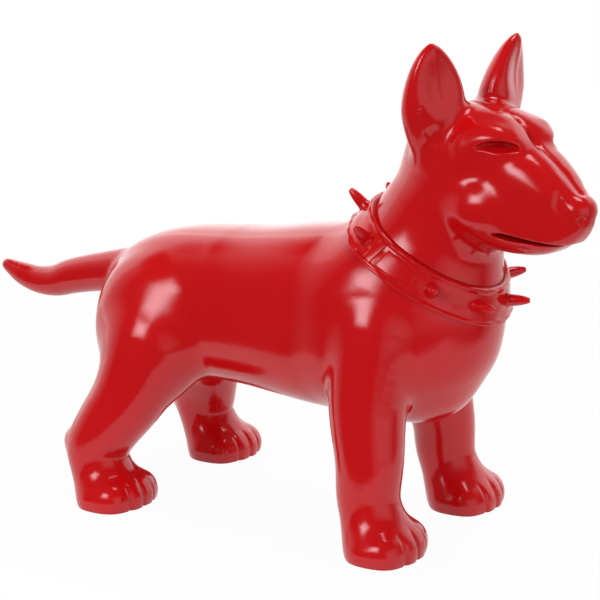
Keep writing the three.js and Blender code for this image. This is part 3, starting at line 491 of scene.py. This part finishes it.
def sample(field, low, high, cell):
    """The field on a grid: at each point of the blocks near its surface, one value for each other block."""
    low = np.asarray(low, float)
    reach = cell * BLOCK
    blocks = np.ceil((np.asarray(high, float) - low) / reach).astype(int)
    middles = [low[i] + reach * (np.arange(blocks[i]) + 0.5) for i in range(3)]
    middle_values = field(np.stack(np.meshgrid(*middles, indexing="ij")).reshape(3, -1)).reshape(blocks)
    spread = middle_values
    for axis in range(3):
        spread = np.repeat(spread, BLOCK, axis)
    values = np.full(blocks * BLOCK + 1, FAR_OUTSIDE, np.float32)
    values[:-1, :-1, :-1] = spread
    near = np.argwhere(np.abs(middle_values) < NEAR_BLOCKS * reach) * BLOCK
    ticks = np.arange(BLOCK + 1)
    inner = np.stack(np.meshgrid(ticks, ticks, ticks, indexing="ij"), -1).reshape(-1, 3)
    for start in range(0, len(near), BLOCKS_AT_ONCE):
        index = (near[start:start + BLOCKS_AT_ONCE, None] + inner).reshape(-1, 3)
        points = (low + cell * index).astype(np.float32).T
        values[tuple(index.T)] = field(points)
    return values


def mend_torn_squares(values, cell):
    """A grid square with opposite corners inside and the others outside is filled at its nearer corner."""
    torn = True
    while torn:
        torn = False
        for axis in range(3):
            v = np.moveaxis(values, axis, 0)
            a, b, c, d = v[:, :-1, :-1], v[:, 1:, :-1], v[:, 1:, 1:], v[:, :-1, 1:]
            inside = [corner < 0 for corner in (a, b, c, d)]
            odd = (inside[0] == inside[2]) & (inside[1] == inside[3]) & (inside[0] != inside[1])
            for i, j, k in np.argwhere(odd):
                corners = [(i, j, k), (i, j + 1, k), (i, j + 1, k + 1), (i, j, k + 1)]
                outside = [at for at in corners if v[at] >= 0]
                if len(outside) == 2:
                    v[min(outside, key=lambda at: v[at])] = -MENDED_DEPTH * cell
                    torn = True


def nets(low, values, cell):
    """A quad across each grid edge that the surface crosses, its corners at the means of the crossings."""
    cells = np.array(values.shape) - 1
    inside = values < 0
    crossings, owners, quads = [], [], []
    for axis in range(3):
        before = np.moveaxis(inside, axis, 0)[:-1]
        after = np.moveaxis(inside, axis, 0)[1:]
        index = np.argwhere(np.moveaxis(before != after, 0, axis))
        beyond = index.copy()
        beyond[:, axis] += 1
        first = values[tuple(index.T)].astype(float)
        second = values[tuple(beyond.T)].astype(float)
        point = index.astype(float)
        point[:, axis] += first / (first - second)
        one, two = (axis + 1) % 3, (axis + 2) % 3
        held = (index[:, one] > 0) & (index[:, one] < cells[one])
        held &= (index[:, two] > 0) & (index[:, two] < cells[two])
        index, point, first = index[held], point[held], first[held]
        ring = []
        for step_one, step_two in ((-1, -1), (0, -1), (0, 0), (-1, 0)):
            at = index.copy()
            at[:, one] += step_one
            at[:, two] += step_two
            ring.append((at[:, 0] * cells[1] + at[:, 1]) * cells[2] + at[:, 2])
        ring = np.stack(ring, 1)
        crossings.append(np.repeat(point, 4, axis=0))
        owners.append(ring.reshape(-1))
        quads.append(np.where((first > 0)[:, None], ring[:, ::-1], ring))
    crossings, owners, quads = [np.concatenate(parts) for parts in (crossings, owners, quads)]
    used, which = np.unique(owners, return_inverse=True)
    count = np.bincount(which)
    points = np.stack([np.bincount(which, crossings[:, i]) / count for i in range(3)], 1) * cell + low
    return points, np.searchsorted(used, quads)


def slope(field, points):
    """How fast the field rises along x, y and z at some points."""
    columns = []
    for shift in SLOPE_STEP * np.eye(3):
        columns.append((field((points + shift).T) - field((points - shift).T)) / (2 * SLOPE_STEP))
    return np.stack(columns, 1)


def surface(field, low, high, cell):
    """Points and quads of a field's surface in a box, with the points settled on it along its slope."""
    values = sample(field, low, high, cell)
    mend_torn_squares(values, cell)
    points, quads = nets(low, values, cell)
    for _ in range(SETTLE_PASSES):
        rise = slope(field, points)
        step = field(points.T)[:, None] * rise / np.maximum((rise ** 2).sum(1, keepdims=True), LEAST_RISE)
        size = np.linalg.norm(step, axis=1, keepdims=True)
        points = points - step * np.minimum(1, SETTLE_REACH * cell / np.maximum(size, TINY))
    return points, quads


# From sculpt millimetres to the frame's metres. The torso's flat ends say where the frame's origin lies.
MM = 0.001
torso_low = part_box("torso_left")[0]
SHIFT = np.array([torso_low[0] / MM - TAIL_SEAM - SEAM_GAP / 2, torso_low[1] / MM - SEAM_GAP / 2, 0])


def to_frame(points):
    return (np.asarray(points) + SHIFT) * MM


# Cutting a surface at its seams and making a piece of it. The tolerances are in millimetres.
CUT_TOLERANCE = 1e-4
RIM_TOLERANCE = 1e-2
CAP_COSINE = 0.1


def start_mesh(points, quads):
    bm = bmesh.new()
    corners = [bm.verts.new(p) for p in np.asarray(points, float)]
    for quad in quads:
        bm.faces.new([corners[i] for i in quad])
    return bm


def cut(bm, at, normal, near=None):
    """Removes what lies beyond a plane and closes the opening. near limits the cut to some faces."""
    faces = [f for f in bm.faces if near is None or near(f.calc_center_median())]
    geometry = set(faces)
    for f in faces:
        geometry.update(f.verts)
        geometry.update(f.edges)
    bmesh.ops.bisect_plane(bm, geom=list(geometry), dist=CUT_TOLERANCE, plane_co=at, plane_no=normal,
                           clear_outer=True)
    plane_at, plane_normal = Vector(at), Vector(normal).normalized()
    rim = [e for e in bm.edges if e.is_boundary
           and all(abs((v.co - plane_at).dot(plane_normal)) < RIM_TOLERANCE for v in e.verts)]
    bmesh.ops.triangle_fill(bm, use_beauty=True, use_dissolve=False, edges=rim, normal=plane_normal)


def drop_open_edges(bm):
    """Deletes what is left beyond the cuts: sheets that still have open edges."""
    edges = [e for e in bm.edges if e.is_boundary]
    while edges:
        loose = set()
        stack = [edges[0].verts[0]]
        while stack:
            v = stack.pop()
            if v not in loose:
                loose.add(v)
                stack.extend(e.other_vert(v) for e in v.link_edges)
        bmesh.ops.delete(bm, geom=list(loose), context="VERTS")
        edges = [e for e in bm.edges if e.is_boundary]


def read_vectors(items, key):
    numbers = np.empty(len(items) * 3)
    items.foreach_get(key, numbers)
    return numbers.reshape(-1, 3)


def read_integers(items, key):
    numbers = np.empty(len(items), int)
    items.foreach_get(key, numbers)
    return numbers


def shade_by_slope(mesh, field, points):
    """Normals along the field's slope, so that neighbours meet without a line, but flat on a cut's cap."""
    normals = slope(field, points)
    normals /= np.maximum(np.linalg.norm(normals, axis=1, keepdims=True), TINY)
    corner_normals = normals[read_integers(mesh.loops, "vertex_index")]
    sides = read_integers(mesh.polygons, "loop_total")
    face_normals = np.repeat(read_vectors(mesh.polygons, "normal"), sides, axis=0)
    flat = (face_normals * corner_normals).sum(1) < CAP_COSINE
    corner_normals[flat] = face_normals[flat]
    mesh.normals_split_custom_set(corner_normals.tolist())


def finish_piece(bm, name, field, nodes, material):
    """A mesh object in the frame that stands in for some nodes, shaded by its field where it has one."""
    bmesh.ops.recalc_face_normals(bm, faces=bm.faces)
    mesh = bpy.data.meshes.new(name)
    bm.to_mesh(mesh)
    bm.free()
    points = read_vectors(mesh.vertices, "co")
    mesh.vertices.foreach_set("co", to_frame(points).ravel())
    mesh.update()
    mesh.polygons.foreach_set("use_smooth", np.ones(len(mesh.polygons), bool))
    if field is not None:
        shade_by_slope(mesh, field, points)
    piece = bpy.data.objects.new(name, mesh)
    bpy.context.collection.objects.link(piece)
    mesh.materials.append(material)
    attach(piece, "root")
    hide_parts(*nodes)


# The collar's directions: along its axis, to the throat and to the dog's left.
lean, turn = math.radians(COLLAR_LEAN), math.radians(COLLAR_TURN)
collar_axis = np.array([math.sin(lean) * math.cos(turn), math.sin(lean) * math.sin(turn), math.cos(lean)])
collar_front = unit(np.cross((0, 1, 0), collar_axis))
collar_side = np.cross(collar_axis, collar_front)

# Castings: grid cells, and the boxes that are sampled, which end beyond the seams.
TORSO_CELL = 4.0
LEG_CELL = 2.2
TAIL_CELL = 2.6
HEAD_CELL = 1.8
EAR_CELL = 1.6
MARGIN = 14
TORSO_BOX = ((TAIL_SEAM - MARGIN, -160, LEG_SEAM - MARGIN), (304, 160, 400))
TAIL_BOX = ((-420, -60, 170), (TAIL_SEAM + MARGIN, 60, 320))
HEAD_BOX = ((118, -118, 250), (436, 112, 600))
LEG_BEHIND_PAW = 10
LEG_BOX_HALF_LENGTH = 105
LEG_BOX_OUTER_SIDE = 180
EAR_BOX_SIDE_MARGIN = 22
EAR_BOX_END_MARGIN = 16
EAR_CUT_HALF_WIDTHS = 1.5
EAR_CUT_BELOW_SEAM = 12


def make_torso(material):
    bm = start_mesh(*surface(body, *TORSO_BOX, TORSO_CELL))
    cut(bm, COLLAR_AT, collar_axis)
    cut(bm, (TAIL_SEAM, 0, 0), (-1, 0, 0))
    cut(bm, (0, 0, LEG_SEAM), (0, 0, -1))
    drop_open_edges(bm)
    other = bm.copy()
    cut(bm, (0, 0, 0), (0, -1, 0))
    cut(other, (0, 0, 0), (0, 1, 0))
    finish_piece(bm, "torso_skin_left", body, ["torso_left"], material)
    finish_piece(other, "torso_skin_right", body, ["torso_right"], material)


def make_leg(name, place, side, material):
    """A leg over its paw's place, side 1 on the dog's left and -1 on its right."""
    x = place[0] - LEG_BEHIND_PAW
    low_y, high_y = sorted((side * MARGIN, side * LEG_BOX_OUTER_SIDE))
    low = (x - LEG_BOX_HALF_LENGTH, low_y, -MARGIN)
    high = (x + LEG_BOX_HALF_LENGTH, high_y, LEG_SEAM + MARGIN)
    bm = start_mesh(*surface(body, low, high, LEG_CELL))
    cut(bm, (0, 0, LEG_SEAM), (0, 0, 1))
    cut(bm, (0, 0, 0), (0, 0, -1))
    drop_open_edges(bm)
    finish_piece(bm, name + "_skin", body, [name], material)


def make_tail(material):
    bm = start_mesh(*surface(body, *TAIL_BOX, TAIL_CELL))
    cut(bm, (TAIL_SEAM, 0, 0), (1, 0, 0))
    drop_open_edges(bm)
    finish_piece(bm, "tail_skin", body, ["tail"], material)


def ear_plane(side):
    """A point and the normal of an ear's seam, side 1 on the dog's left and -1 on its right."""
    flip = np.array([1, side, 1])
    at = from_head((np.array(EAR_BASE) + ear_up * EAR_SEAM) * flip)
    return at, HEAD_AXES @ (ear_up * flip)


def near_ear(side):
    """A test for the points of one ear, so that its seam doesn't cut the rest of the head."""
    reach = EAR_CUT_HALF_WIDTHS * EAR_HALF_WIDTH
    lowest = EAR_SEAM - EAR_CUT_BELOW_SEAM

    def test(point):
        q = into_head(point)
        across, front, up = into_ear(q)
        return q[1] * side > 0 and abs(across) < reach and abs(front) < reach and up > lowest
    return test


def make_head(material):
    bm = start_mesh(*surface(bust, *HEAD_BOX, HEAD_CELL))
    cut(bm, COLLAR_AT, -collar_axis)
    drop_open_edges(bm)
    for side in (1, -1):
        at, normal = ear_plane(side)
        cut(bm, at, normal, near_ear(side))
    finish_piece(bm, "head_skin", bust, ["head"], material)


def make_ear(name, side, material):
    at, normal = ear_plane(side)
    middle = at + normal * (EAR_LENGTH / 2 - EAR_SEAM)
    width = EAR_HALF_WIDTH + EAR_BOX_SIDE_MARGIN
    reach = np.array([width, width, EAR_LENGTH / 2 + EAR_BOX_END_MARGIN])
    bm = start_mesh(*surface(bust, middle - reach, middle + reach, EAR_CELL))
    cut(bm, at, -normal)
    drop_open_edges(bm)
    finish_piece(bm, name + "_skin", bust, [name], material)


# Collar pieces: placed by angle from the throat, height along the collar's axis and rise off the neck.
BAND_FACE = SEAM_GAP + COLLAR_THICKNESS
STRAP_BASE = BAND_FACE + SEAM_GAP
WIDEST_NECK = 2.0 * NECK[0][3]
NECK_HALVINGS = 30
TANGENT_ANGLE = 0.05
TANGENT_HEIGHT = 8


def circle(angles, first, second):
    """Unit vectors at some angles from the first direction towards the second."""
    return np.multiply.outer(np.cos(angles), first) + np.multiply.outer(np.sin(angles), second)


def neck_radius(ray, height):
    """How far the neck's surface is from the collar's axis along each ray, found by halving."""
    foot = COLLAR_AT + np.multiply.outer(height, collar_axis)
    near = np.zeros(len(ray))
    far = np.full(len(ray), WIDEST_NECK)
    for _ in range(NECK_HALVINGS):
        middle = (near + far) / 2
        inside = bare_neck((foot + ray * middle[:, None]).T) < 0
        near = np.where(inside, middle, near)
        far = np.where(inside, far, middle)
    return near


def collar_points(angle, height, rise):
    """Points on the strap, which runs straight from its lower edge on the neck to its upper one."""
    angle, height, rise = np.broadcast_arrays(angle, height, rise)
    shape = angle.shape
    angle, height, rise = angle.ravel(), height.ravel(), rise.ravel()
    ray = circle(angle, collar_front, collar_side)
    half = COLLAR_WIDTH / 2
    low = neck_radius(ray, np.full(len(angle), -half))
    high = neck_radius(ray, np.full(len(angle), half))
    radius = low + (high - low) * (height + half) / COLLAR_WIDTH + rise
    points = COLLAR_AT + np.multiply.outer(height, collar_axis) + ray * radius[:, None]
    return points.reshape(*shape, 3)


def ruled(points, closed):
    """A bmesh of rows of section points, closed round or capped at both ends."""
    rows, size = points.shape[:2]
    bm = bmesh.new()
    grid = [[bm.verts.new(p) for p in row] for row in points]
    last = rows if closed else rows - 1
    for i in range(last):
        for k in range(size):
            a, b = grid[i], grid[(i + 1) % rows]
            bm.faces.new((a[k], a[(k + 1) % size], b[(k + 1) % size], b[k]))
    if not closed:
        bm.faces.new(grid[0][::-1])
        bm.faces.new(grid[-1])
    return bm


def band_section():
    """Height and rise round the band: flat on the neck, with a round bead along each edge."""
    half, edge = COLLAR_WIDTH / 2, COLLAR_EDGE_WIDTH / 2
    bead = [(math.cos(a) * edge, math.sin(a) * COLLAR_EDGE_RISE)
            for a in np.linspace(0, math.pi, COLLAR_EDGE_POINTS)]
    upper = [(half - edge + x, BAND_FACE + z) for x, z in bead]
    lower = [(edge - half + x, BAND_FACE + z) for x, z in bead]
    web_end = half - 2 * edge - COLLAR_WEB_INSET
    web = [(x, BAND_FACE) for x in np.linspace(web_end, -web_end, COLLAR_WEB_POINTS)]
    return [(-half, SEAM_GAP), (half, SEAM_GAP)] + upper + web + lower


def ripple(angle, height):
    return sum(size * np.sin(waves * angle + slant * height + phase)
               for size, waves, slant, phase in RIPPLES)


def make_band(material):
    section = np.array(band_section())
    angle = np.linspace(0, 2 * math.pi, COLLAR_STEPS, endpoint=False)[:, None]
    height, rise = section[None, :, 0], section[None, :, 1]
    rise = rise + ripple(angle, height) * (rise > BAND_FACE / 2)
    bm = ruled(collar_points(angle, height, rise), closed=True)
    finish_piece(bm, "collar_band_skin", None, ["collar_band"], material)


def spike_frame(angle):
    """A spike's foot on the band, with its directions to the side, up and out."""
    at = collar_points(angle, 0.0, BAND_FACE)
    ahead, behind = collar_points(np.array([angle + TANGENT_ANGLE, angle - TANGENT_ANGLE]), 0.0, BAND_FACE)
    high, low = collar_points(angle, np.array([TANGENT_HEIGHT, -TANGENT_HEIGHT]), BAND_FACE)
    out = unit(np.cross(ahead - behind, high - low))
    side = unit(np.cross(collar_axis, out))
    return at, side, np.cross(out, side), out


def spike_profile():
    """Radius and height of a bullet, from its foot sunk in the band to its round tip."""
    rows = [(SPIKE_RADIUS + SPIKE_FOOT_FLARE, -SPIKE_FOOT_SUNK)]
    for f in np.linspace(0, SPIKE_SIDE_SHARE, SPIKE_SIDE_ROWS):
        height = f * SPIKE_LENGTH
        fullness = (1 - f * f) ** SPIKE_FULLNESS
        flare = SPIKE_FOOT_FLARE * max(1 - height / SPIKE_FOOT_HEIGHT, 0) ** 2
        rows.append((SPIKE_TIP_RADIUS + (SPIKE_RADIUS - SPIKE_TIP_RADIUS) * fullness + flare, height))
    last, height = rows[-1]
    for a in np.linspace(*SPIKE_TIP_ARC, SPIKE_TIP_ROWS):
        rows.append((last * math.cos(a), height + (SPIKE_LENGTH - height) * math.sin(a)))
    return rows


def make_spike(name, angle, material):
    at, side, up, out = spike_frame(angle)
    ring = circle(np.linspace(0, 2 * math.pi, SPIKE_TURNS, endpoint=False), side, up)
    rows = [at + radius * ring + height * out for radius, height in spike_profile()]
    bm = ruled(np.array(rows), closed=False)
    finish_piece(bm, name + "_skin", None, [name], material)


def make_strap(name, section, middle, arc, steps, material):
    """A strip on the band: section gives its outline at a share of its length."""
    rows = [collar_points(math.radians(middle - arc / 2 + arc * f), *np.array(section(f)).T)
            for f in np.linspace(0, 1, steps)]
    bm = ruled(np.array(rows), closed=False)
    finish_piece(bm, name + "_skin", None, [name], material)


def crowned(half_width, rise):
    """A strip's section: flat below, crowned above with round edges."""
    outline = [(-half_width, STRAP_BASE), (half_width, STRAP_BASE)]
    for a in np.linspace(CROWN_EDGE_ANGLE, math.pi - CROWN_EDGE_ANGLE, CROWN_POINTS):
        height = rise * abs(math.sin(a)) ** CROWN_FLATNESS
        outline.append((half_width * math.cos(a), STRAP_BASE + height))
    return outline


def keeper_section(f):
    """The keeper's outline: it bulges between its two ends."""
    bulge = KEEPER_END_RISE + (1 - KEEPER_END_RISE) * math.sin(math.pi * f) ** KEEPER_ROUNDNESS
    return crowned(COLLAR_WIDTH / 2 - COLLAR_EDGE_WIDTH - KEEPER_SIDE_GAP, KEEPER_RISE * bulge)


def strap_end_section(f):
    """The strap end's outline: it narrows and thins towards its tip."""
    half = STRAP_END_WIDTH / 2 * math.sqrt(1 + STRAP_END_BLUNTNESS - f ** 3)
    return crowned(half, STRAP_END_RISE * (1 - STRAP_END_THINNING * f ** 4))


# Looks: red lacquer with a slightly uneven tint, gloss and skin, and steel for the hidden pins.
LACQUER_DARK = (0.62, 0.0035, 0.005, 1)
LACQUER_LIGHT = (0.68, 0.005, 0.007, 1)
LACQUER_GLINT = (1, 0.93, 1, 1)
STEEL = (0.5, 0.51, 0.53, 1)


def lacquer_material():
    material = bpy.data.materials.new("red_lacquer_skin")
    material.use_nodes = True
    nodes, links = material.node_tree.nodes, material.node_tree.links
    shader = nodes["Principled BSDF"]
    shader.inputs["IOR"].default_value = 1.5
    shader.inputs["Specular Tint"].default_value = LACQUER_GLINT
    place = nodes.new("ShaderNodeTexCoord").outputs["Object"]

    def noise(scale, detail):
        node = nodes.new("ShaderNodeTexNoise")
        node.inputs["Scale"].default_value = scale
        node.inputs["Detail"].default_value = detail
        links.new(place, node.inputs["Vector"])
        return node.outputs["Fac"]

    tint = nodes.new("ShaderNodeMix")
    tint.data_type = "RGBA"
    tint.inputs["A"].default_value = LACQUER_DARK
    tint.inputs["B"].default_value = LACQUER_LIGHT
    links.new(noise(scale=14, detail=3), tint.inputs["Factor"])
    links.new(tint.outputs["Result"], shader.inputs["Base Color"])
    gloss = nodes.new("ShaderNodeMapRange")
    gloss.inputs["To Min"].default_value = 0.12
    gloss.inputs["To Max"].default_value = 0.2
    links.new(noise(scale=30, detail=4), gloss.inputs["Value"])
    links.new(gloss.outputs["Result"], shader.inputs["Roughness"])
    peel = nodes.new("ShaderNodeBump")
    peel.inputs["Strength"].default_value = 0.06
    peel.inputs["Distance"].default_value = 0.001
    links.new(noise(scale=260, detail=2), peel.inputs["Height"])
    links.new(peel.outputs["Normal"], shader.inputs["Normal"])
    return material


def steel_material():
    material = bpy.data.materials.new("pin_steel")
    material.use_nodes = True
    nodes, links = material.node_tree.nodes, material.node_tree.links
    shader = nodes["Principled BSDF"]
    shader.inputs["Metallic"].default_value = 1
    shader.inputs["Base Color"].default_value = STEEL
    grain = nodes.new("ShaderNodeTexNoise")
    grain.inputs["Scale"].default_value = 400
    spread = nodes.new("ShaderNodeMapRange")
    spread.inputs["To Min"].default_value = 0.25
    spread.inputs["To Max"].default_value = 0.45
    links.new(grain.outputs["Fac"], spread.inputs["Value"])
    links.new(spread.outputs["Result"], shader.inputs["Roughness"])
    return material


red = lacquer_material()
make_torso(red)
for part, place in (("front_leg", FRONT_PAW), ("hind_leg", HIND_PAW)):
    make_leg(part + "_left", place, 1, red)
    make_leg(part + "_right", place, -1, red)
make_tail(red)
make_head(red)
make_ear("ear_left", 1, red)
make_ear("ear_right", -1, red)
make_band(red)
make_strap("collar_keeper", keeper_section, KEEPER_ANGLE, KEEPER_ARC, KEEPER_STEPS, red)
make_strap("collar_strap_end", strap_end_section, STRAP_END_ANGLE, STRAP_END_ARC, STRAP_END_STEPS, red)
for number, degrees in enumerate(SPIKE_ANGLES, 1):
    make_spike(f"spike_{number:02d}", math.radians(degrees), red)
steel = steel_material()
for name in ("ear_pin_left", "ear_pin_right"):
    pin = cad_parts[name]
    pin.material_slots[0].material = steel


# Stage, in metres: a pale floor, a white background and large soft lights.
FLOOR_LOW = (-1.2, -0.34)
FLOOR_HIGH = (0.75, 1.6)
FLOOR_GREY = (0.85, 0.85, 0.85, 1)
FLOOR_ROUGHNESS = 0.9
FLOOR_WHITE = 0.965
WHITE = (1, 1, 1, 1)
BACKDROP_TOWARDS = (-0.53, 0.85, 0)
BACKDROP_SIDE_FADE = (-0.1, 0.4)
BACKDROP_TOP = 0.74
BACKDROP_TOP_FADE = 0.03
ROOM_LIGHT = 0.38
ROOM_REFLECTED = 0.07

# Softboxes: name, azimuth from +X, elevation, distance, width, height and radiance. A smaller box in front
# of a larger one makes a highlight that is brightest in its middle.
LIGHTS_AIM = (0, 0, 0.25)
LIGHTS = (
    ("key", -98, 28, 2.2, 1.3, 1.0, 1.4),
    ("key_middle", -98, 28, 2.19, 1.0, 0.75, 3.2),
    ("key_core", -98, 28, 2.18, 0.65, 0.5, 4.2),
    ("top", 40, 75, 2.2, 0.8, 0.8, 6),
    ("fill", -16, 6, 3.0, 4.4, 2.8, 0.25),
    ("fill_middle", -16, 6, 2.99, 3.2, 2.1, 0.25),
    ("fill_core", -16, 6, 2.98, 2.1, 1.4, 0.3),
)
BACKDROP_AZIMUTHS = (70, 116, 162)
BACKDROP_LIGHT = (20, 3.0, 2.5, 2.7, 0.6)


def area_light(name, azimuth, elevation, distance, width, height, radiance):
    """A softbox seen from the statue at an azimuth from +X and an elevation, in degrees."""
    a, e = math.radians(azimuth), math.radians(elevation)
    towards = Vector((math.cos(a) * math.cos(e), math.sin(a) * math.cos(e), math.sin(e)))
    light = bpy.data.lights.new(name, "AREA")
    light.shape = "RECTANGLE"
    light.size, light.size_y = width, height
    light.energy = radiance * math.pi * width * height
    lamp = bpy.data.objects.new(name, light)
    lamp.location = Vector(LIGHTS_AIM) + towards * distance
    lamp.rotation_euler = towards.to_track_quat("Z", "Y").to_euler()
    lamp.visible_camera = False
    bpy.context.collection.objects.link(lamp)


def maths(nodes, links, operation, first, second):
    """The output of a maths node of two inputs, the second a socket or a number."""
    node = nodes.new("ShaderNodeMath")
    node.operation = operation
    links.new(first, node.inputs[0])
    if isinstance(second, bpy.types.NodeSocket):
        links.new(second, node.inputs[1])
    else:
        node.inputs[1].default_value = second
    return node.outputs["Value"]


def make_floor():
    """A floor that glows white where it is seen, with a trace of the light and shadow on it."""
    bm = bmesh.new()
    (left, front), (right, back) = FLOOR_LOW, FLOOR_HIGH
    corners = [(left, front, 0), (right, front, 0), (right, back, 0), (left, back, 0)]
    bm.faces.new([bm.verts.new(c) for c in corners])
    mesh = bpy.data.meshes.new("floor")
    bm.to_mesh(mesh)
    bm.free()
    floor = bpy.data.objects.new("floor", mesh)
    bpy.context.collection.objects.link(floor)
    material = bpy.data.materials.new("white_floor")
    material.use_nodes = True
    nodes, links = material.node_tree.nodes, material.node_tree.links
    matt = nodes["Principled BSDF"]
    matt.inputs["Base Color"].default_value = FLOOR_GREY
    matt.inputs["Roughness"].default_value = FLOOR_ROUGHNESS
    glow = nodes.new("ShaderNodeEmission")
    blend = nodes.new("ShaderNodeMixShader")
    path = nodes.new("ShaderNodeLightPath")
    seen = maths(nodes, links, "MAXIMUM", path.outputs["Is Camera Ray"], path.outputs["Is Glossy Ray"])
    seen = maths(nodes, links, "MAXIMUM", seen, path.outputs["Is Transmission Ray"])
    links.new(maths(nodes, links, "MULTIPLY", seen, FLOOR_WHITE), blend.inputs["Fac"])
    links.new(matt.outputs["BSDF"], blend.inputs[1])
    links.new(glow.outputs["Emission"], blend.inputs[2])
    links.new(blend.outputs["Shader"], nodes["Material Output"].inputs["Surface"])
    mesh.materials.append(material)


def make_world():
    """A white backdrop behind the statue, and a dim room on the camera's side of it."""
    world = bpy.data.worlds.new("studio")
    bpy.context.scene.world = world
    world.use_nodes = True
    nodes, links = world.node_tree.nodes, world.node_tree.links
    room = nodes["Background"]
    room.inputs["Color"].default_value = WHITE
    white = nodes.new("ShaderNodeBackground")
    white.inputs["Color"].default_value = WHITE
    path = nodes.new("ShaderNodeLightPath")
    towards = nodes.new("ShaderNodeVectorMath")
    towards.operation = "DOT_PRODUCT"
    towards.inputs[1].default_value = BACKDROP_TOWARDS
    direction = nodes.new("ShaderNodeTexCoord").outputs["Generated"]
    links.new(direction, towards.inputs[0])
    behind = nodes.new("ShaderNodeMapRange")
    behind.inputs["From Min"].default_value = BACKDROP_SIDE_FADE[0]
    behind.inputs["From Max"].default_value = BACKDROP_SIDE_FADE[1]
    links.new(towards.outputs["Value"], behind.inputs["Value"])
    height = nodes.new("ShaderNodeSeparateXYZ")
    links.new(direction, height.inputs["Vector"])
    below = nodes.new("ShaderNodeMapRange")
    below.inputs["From Min"].default_value = BACKDROP_TOP + BACKDROP_TOP_FADE
    below.inputs["From Max"].default_value = BACKDROP_TOP - BACKDROP_TOP_FADE
    links.new(height.outputs["Z"], below.inputs["Value"])
    mirrored_white = maths(nodes, links, "MULTIPLY", behind.outputs["Result"], below.outputs["Result"])
    mirrored_white = maths(nodes, links, "MULTIPLY", mirrored_white, path.outputs["Is Glossy Ray"])
    seen = maths(nodes, links, "MAXIMUM", path.outputs["Is Camera Ray"], path.outputs["Is Transmission Ray"])
    blend = nodes.new("ShaderNodeMixShader")
    links.new(maths(nodes, links, "MAXIMUM", seen, mirrored_white), blend.inputs["Fac"])
    level = nodes.new("ShaderNodeMapRange")
    level.inputs["To Min"].default_value = ROOM_LIGHT
    level.inputs["To Max"].default_value = ROOM_REFLECTED
    links.new(path.outputs["Is Glossy Ray"], level.inputs["Value"])
    links.new(level.outputs["Result"], room.inputs["Strength"])
    links.new(room.outputs["Background"], blend.inputs[1])
    links.new(white.outputs["Background"], blend.inputs[2])
    links.new(blend.outputs["Shader"], nodes["World Output"].inputs["Surface"])


# Camera: the photograph's own view, found from the paws on the floor. Its place is in sculpt millimetres.
CAMERA_AT = (1019, -1567, 634.5)
CAMERA_YAW = 31.8
CAMERA_PITCH = 12.05
FOCAL_PIXELS = 1650
PICTURE_PIXELS = 600
SENSOR_WIDTH = 36


def make_camera():
    yaw, pitch = math.radians(CAMERA_YAW), math.radians(CAMERA_PITCH)
    right = Vector((math.cos(yaw), math.sin(yaw), 0))
    view = Vector((-math.sin(yaw) * math.cos(pitch), math.cos(yaw) * math.cos(pitch), -math.sin(pitch)))
    up = right.cross(view)
    camera = bpy.data.cameras.new("camera")
    camera.sensor_width = SENSOR_WIDTH
    camera.lens = SENSOR_WIDTH * FOCAL_PIXELS / PICTURE_PIXELS
    seat = bpy.data.objects.new("camera", camera)
    seat.matrix_world = Matrix((right, up, -view)).transposed().to_4x4()
    seat.location = Vector(to_frame(CAMERA_AT))
    bpy.context.collection.objects.link(seat)
    bpy.context.scene.camera = seat


make_floor()
make_world()
make_camera()
for light in LIGHTS:
    area_light(*light)
for azimuth in BACKDROP_AZIMUTHS:
    area_light(f"backdrop_{azimuth}", azimuth, *BACKDROP_LIGHT)
bpy.context.scene.view_settings.view_transform = "Standard"
